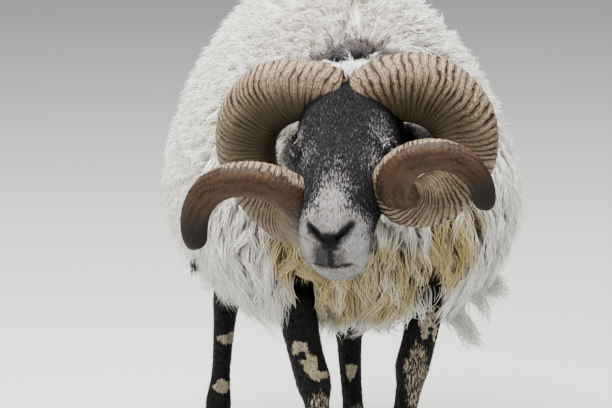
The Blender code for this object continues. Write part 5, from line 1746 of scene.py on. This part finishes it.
for side, sign in (("left", 1), ("right", -1)):
    form = HORN_FORMS[side]
    dice = random.Random(side)
    middle_line = []
    for k in range(HORN_RINGS):
        share = k / (HORN_RINGS - 1)
        turned = -HORN_SUNK_TURN + (form["turn"] + HORN_SUNK_TURN) * share
        middle_line.append((share, turned, *horn_middle(form, sign, turned)))
    distance = [0.0]
    for before, after in zip(middle_line, middle_line[1:]):
        distance.append(distance[-1] + (after[2] - before[2]).length)
    edges = [0.0]
    while edges[-1] < distance[-1]:
        edges.append(edges[-1] + dice.uniform(*RIB_SPACING) * (1 - 0.3 * edges[-1] / distance[-1]))
    depths = [dice.uniform(0.5, 1.3) for _ in edges]
    numbers = np.interp(distance, edges, np.arange(len(edges)))
    rings, growth_values, along_values, streak_values, edge_values, inner_values = [], [], [], [], [], []
    for k, (share, turned, point, outward) in enumerate(middle_line):
        step = horn_middle(form, sign, turned + 1)[0] - horn_middle(form, sign, turned - 1)[0]
        step.normalize()
        outward = (outward - step * outward.dot(step)).normalized()
        ahead = step.cross(outward) * -sign
        heft = form["heft"] + (form["tip_heft"] - form["heft"]) * share
        breadth, depth = [heft * half for half in read_stations(HORN_STATIONS, share)]
        ring = []
        for angle in angles(HORN_SIDES):
            c, s = rounded(angle, HORN_POWER)
            to_keel = math.cos(angle - math.radians(HORN_KEEL_ANGLE))
            slant = numbers[k] + 0.35 * math.sin(angle * 2 + 1.0) + 0.12 * math.sin(angle * 5 + k * 0.05)
            phase = slant - math.floor(slant)
            rib = 1 - abs(2 * phase - 1) ** 3
            strong = (1 - share) ** 0.6 * (0.55 + 0.45 * to_keel)
            rise = RIB_DEPTH * depths[int(slant) % len(depths)] * rib * strong
            keel = 1 + HORN_KEEL * max(0.0, to_keel) ** 6
            off = outward * (c * breadth * keel) + ahead * (s * depth * keel)
            place = point + off + off.normalized() * (rise - RIB_DEPTH * 0.5)
            place.x = sign * max(sign * place.x, HORN_PARTING)
            ring.append(place)
            growth_values.append(slant + 0.5)
            along_values.append(share)
            streak_values += [math.cos(angle), math.sin(angle), share * 3.0]
            face = math.cos(angle - math.radians(HORN_KEEL_ANGLE + WORN_TURN))
            edge_values.append(read_stations(WORN_EDGE, share)[0] - face)
            inner_values.append(-to_keel)
        rings.append(ring)
    horn = wrap("horn_sheath_" + side, rings)
    # The merged seam keeps the first point of each ring, so the order of points is kept
    for key, kind, values, field in (
        ("growth", "FLOAT", growth_values, "value"),
        ("along", "FLOAT", along_values, "value"),
        ("streak", "FLOAT_VECTOR", streak_values, "vector"),
        ("edge", "FLOAT", edge_values, "value"),
        ("inner", "FLOAT", inner_values, "value"),
    ):
        attribute = horn.data.attributes.new(key, kind, "POINT")
        attribute.data.foreach_set(field, values)
    horn.data.transform(Matrix.Translation(SHIFT) @ FACE_MATRIX)
    horn.data.materials.append(horn_finish)
    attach(horn, "root")
    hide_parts("horn_" + side)


# The claws: two to each foot, of dull dark horn, flat below and sloping in front. Each is
# a tube through a few rings, which ends under the skin of the foot.
CLAW_WIDTH = 0.025
CLAW_SPLIT = 0.005
CLAW_SLOPE = 0.012
CLAW_RINGS = (
    (0.0, 1.0, 0.96),
    (0.0015, 1.0, 1.0),
    (0.008, 0.95, 0.99),
    (0.016, 0.84, 0.97),
    (0.025, 0.68, 0.92),
    (0.0337, 0.55, 0.86),
)
CLAW_SIDES = 24
CLAW_TAPER = 0.35
CLAW_DARK = (0.030, 0.026, 0.022)
CLAW_LIGHT = (0.10, 0.085, 0.065)

claw_finish, tree, shader = new_finish("claw", Roughness=0.5)
where = node(tree, "TexCoord").outputs["Object"]
banded = node(tree, "Mapping", {"Vector": where, "Scale": (0.3, 0.3, 2.0)}).outputs[0]
noise = noise_at(tree, banded, 160.0)
finish_with(tree, shader, blended(tree, noise, CLAW_DARK, CLAW_LIGHT), bumped(tree, noise, 0.5, 0.001))

for foot, joints in LEG_JOINTS.items():
    place, half_across, half_along = joints[-1]
    inner_sign = -1 if foot.endswith("left") else 1
    for part, sign in (("inner", inner_sign), ("outer", -inner_sign)):
        rings = []
        for height, reach, width in CLAW_RINGS:
            heel = place[1] + half_along
            toe = place[1] - half_along - CLAW_SLOPE * reach
            middle, long_half = (heel + toe) / 2, (heel - toe) / 2
            ring = []
            for angle in angles(CLAW_SIDES):
                along = -math.cos(angle)
                taper = 1 - CLAW_TAPER * max(0.0, -along) ** 2
                across = CLAW_WIDTH * width * (0.5 + 0.5 * math.sin(angle)) * taper
                x = place[0] + sign * (CLAW_SPLIT / 2 + across)
                ring.append(Vector((x, middle + long_half * along, height)))
            rings.append(ring)
        claw = wrap("hoof_" + foot + "_" + part, rings)
        claw.data.transform(Matrix.Translation(SHIFT))
        claw.data.materials.append(claw_finish)
        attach(claw, "root")
        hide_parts("claw_" + foot + "_" + part)


# The sizes of the solids and of the finished model, side by side
boxes = {"solids": solid_box, "model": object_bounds()}
sizes = {key: [[float(value) for value in corner] for corner in box] for key, box in boxes.items()}
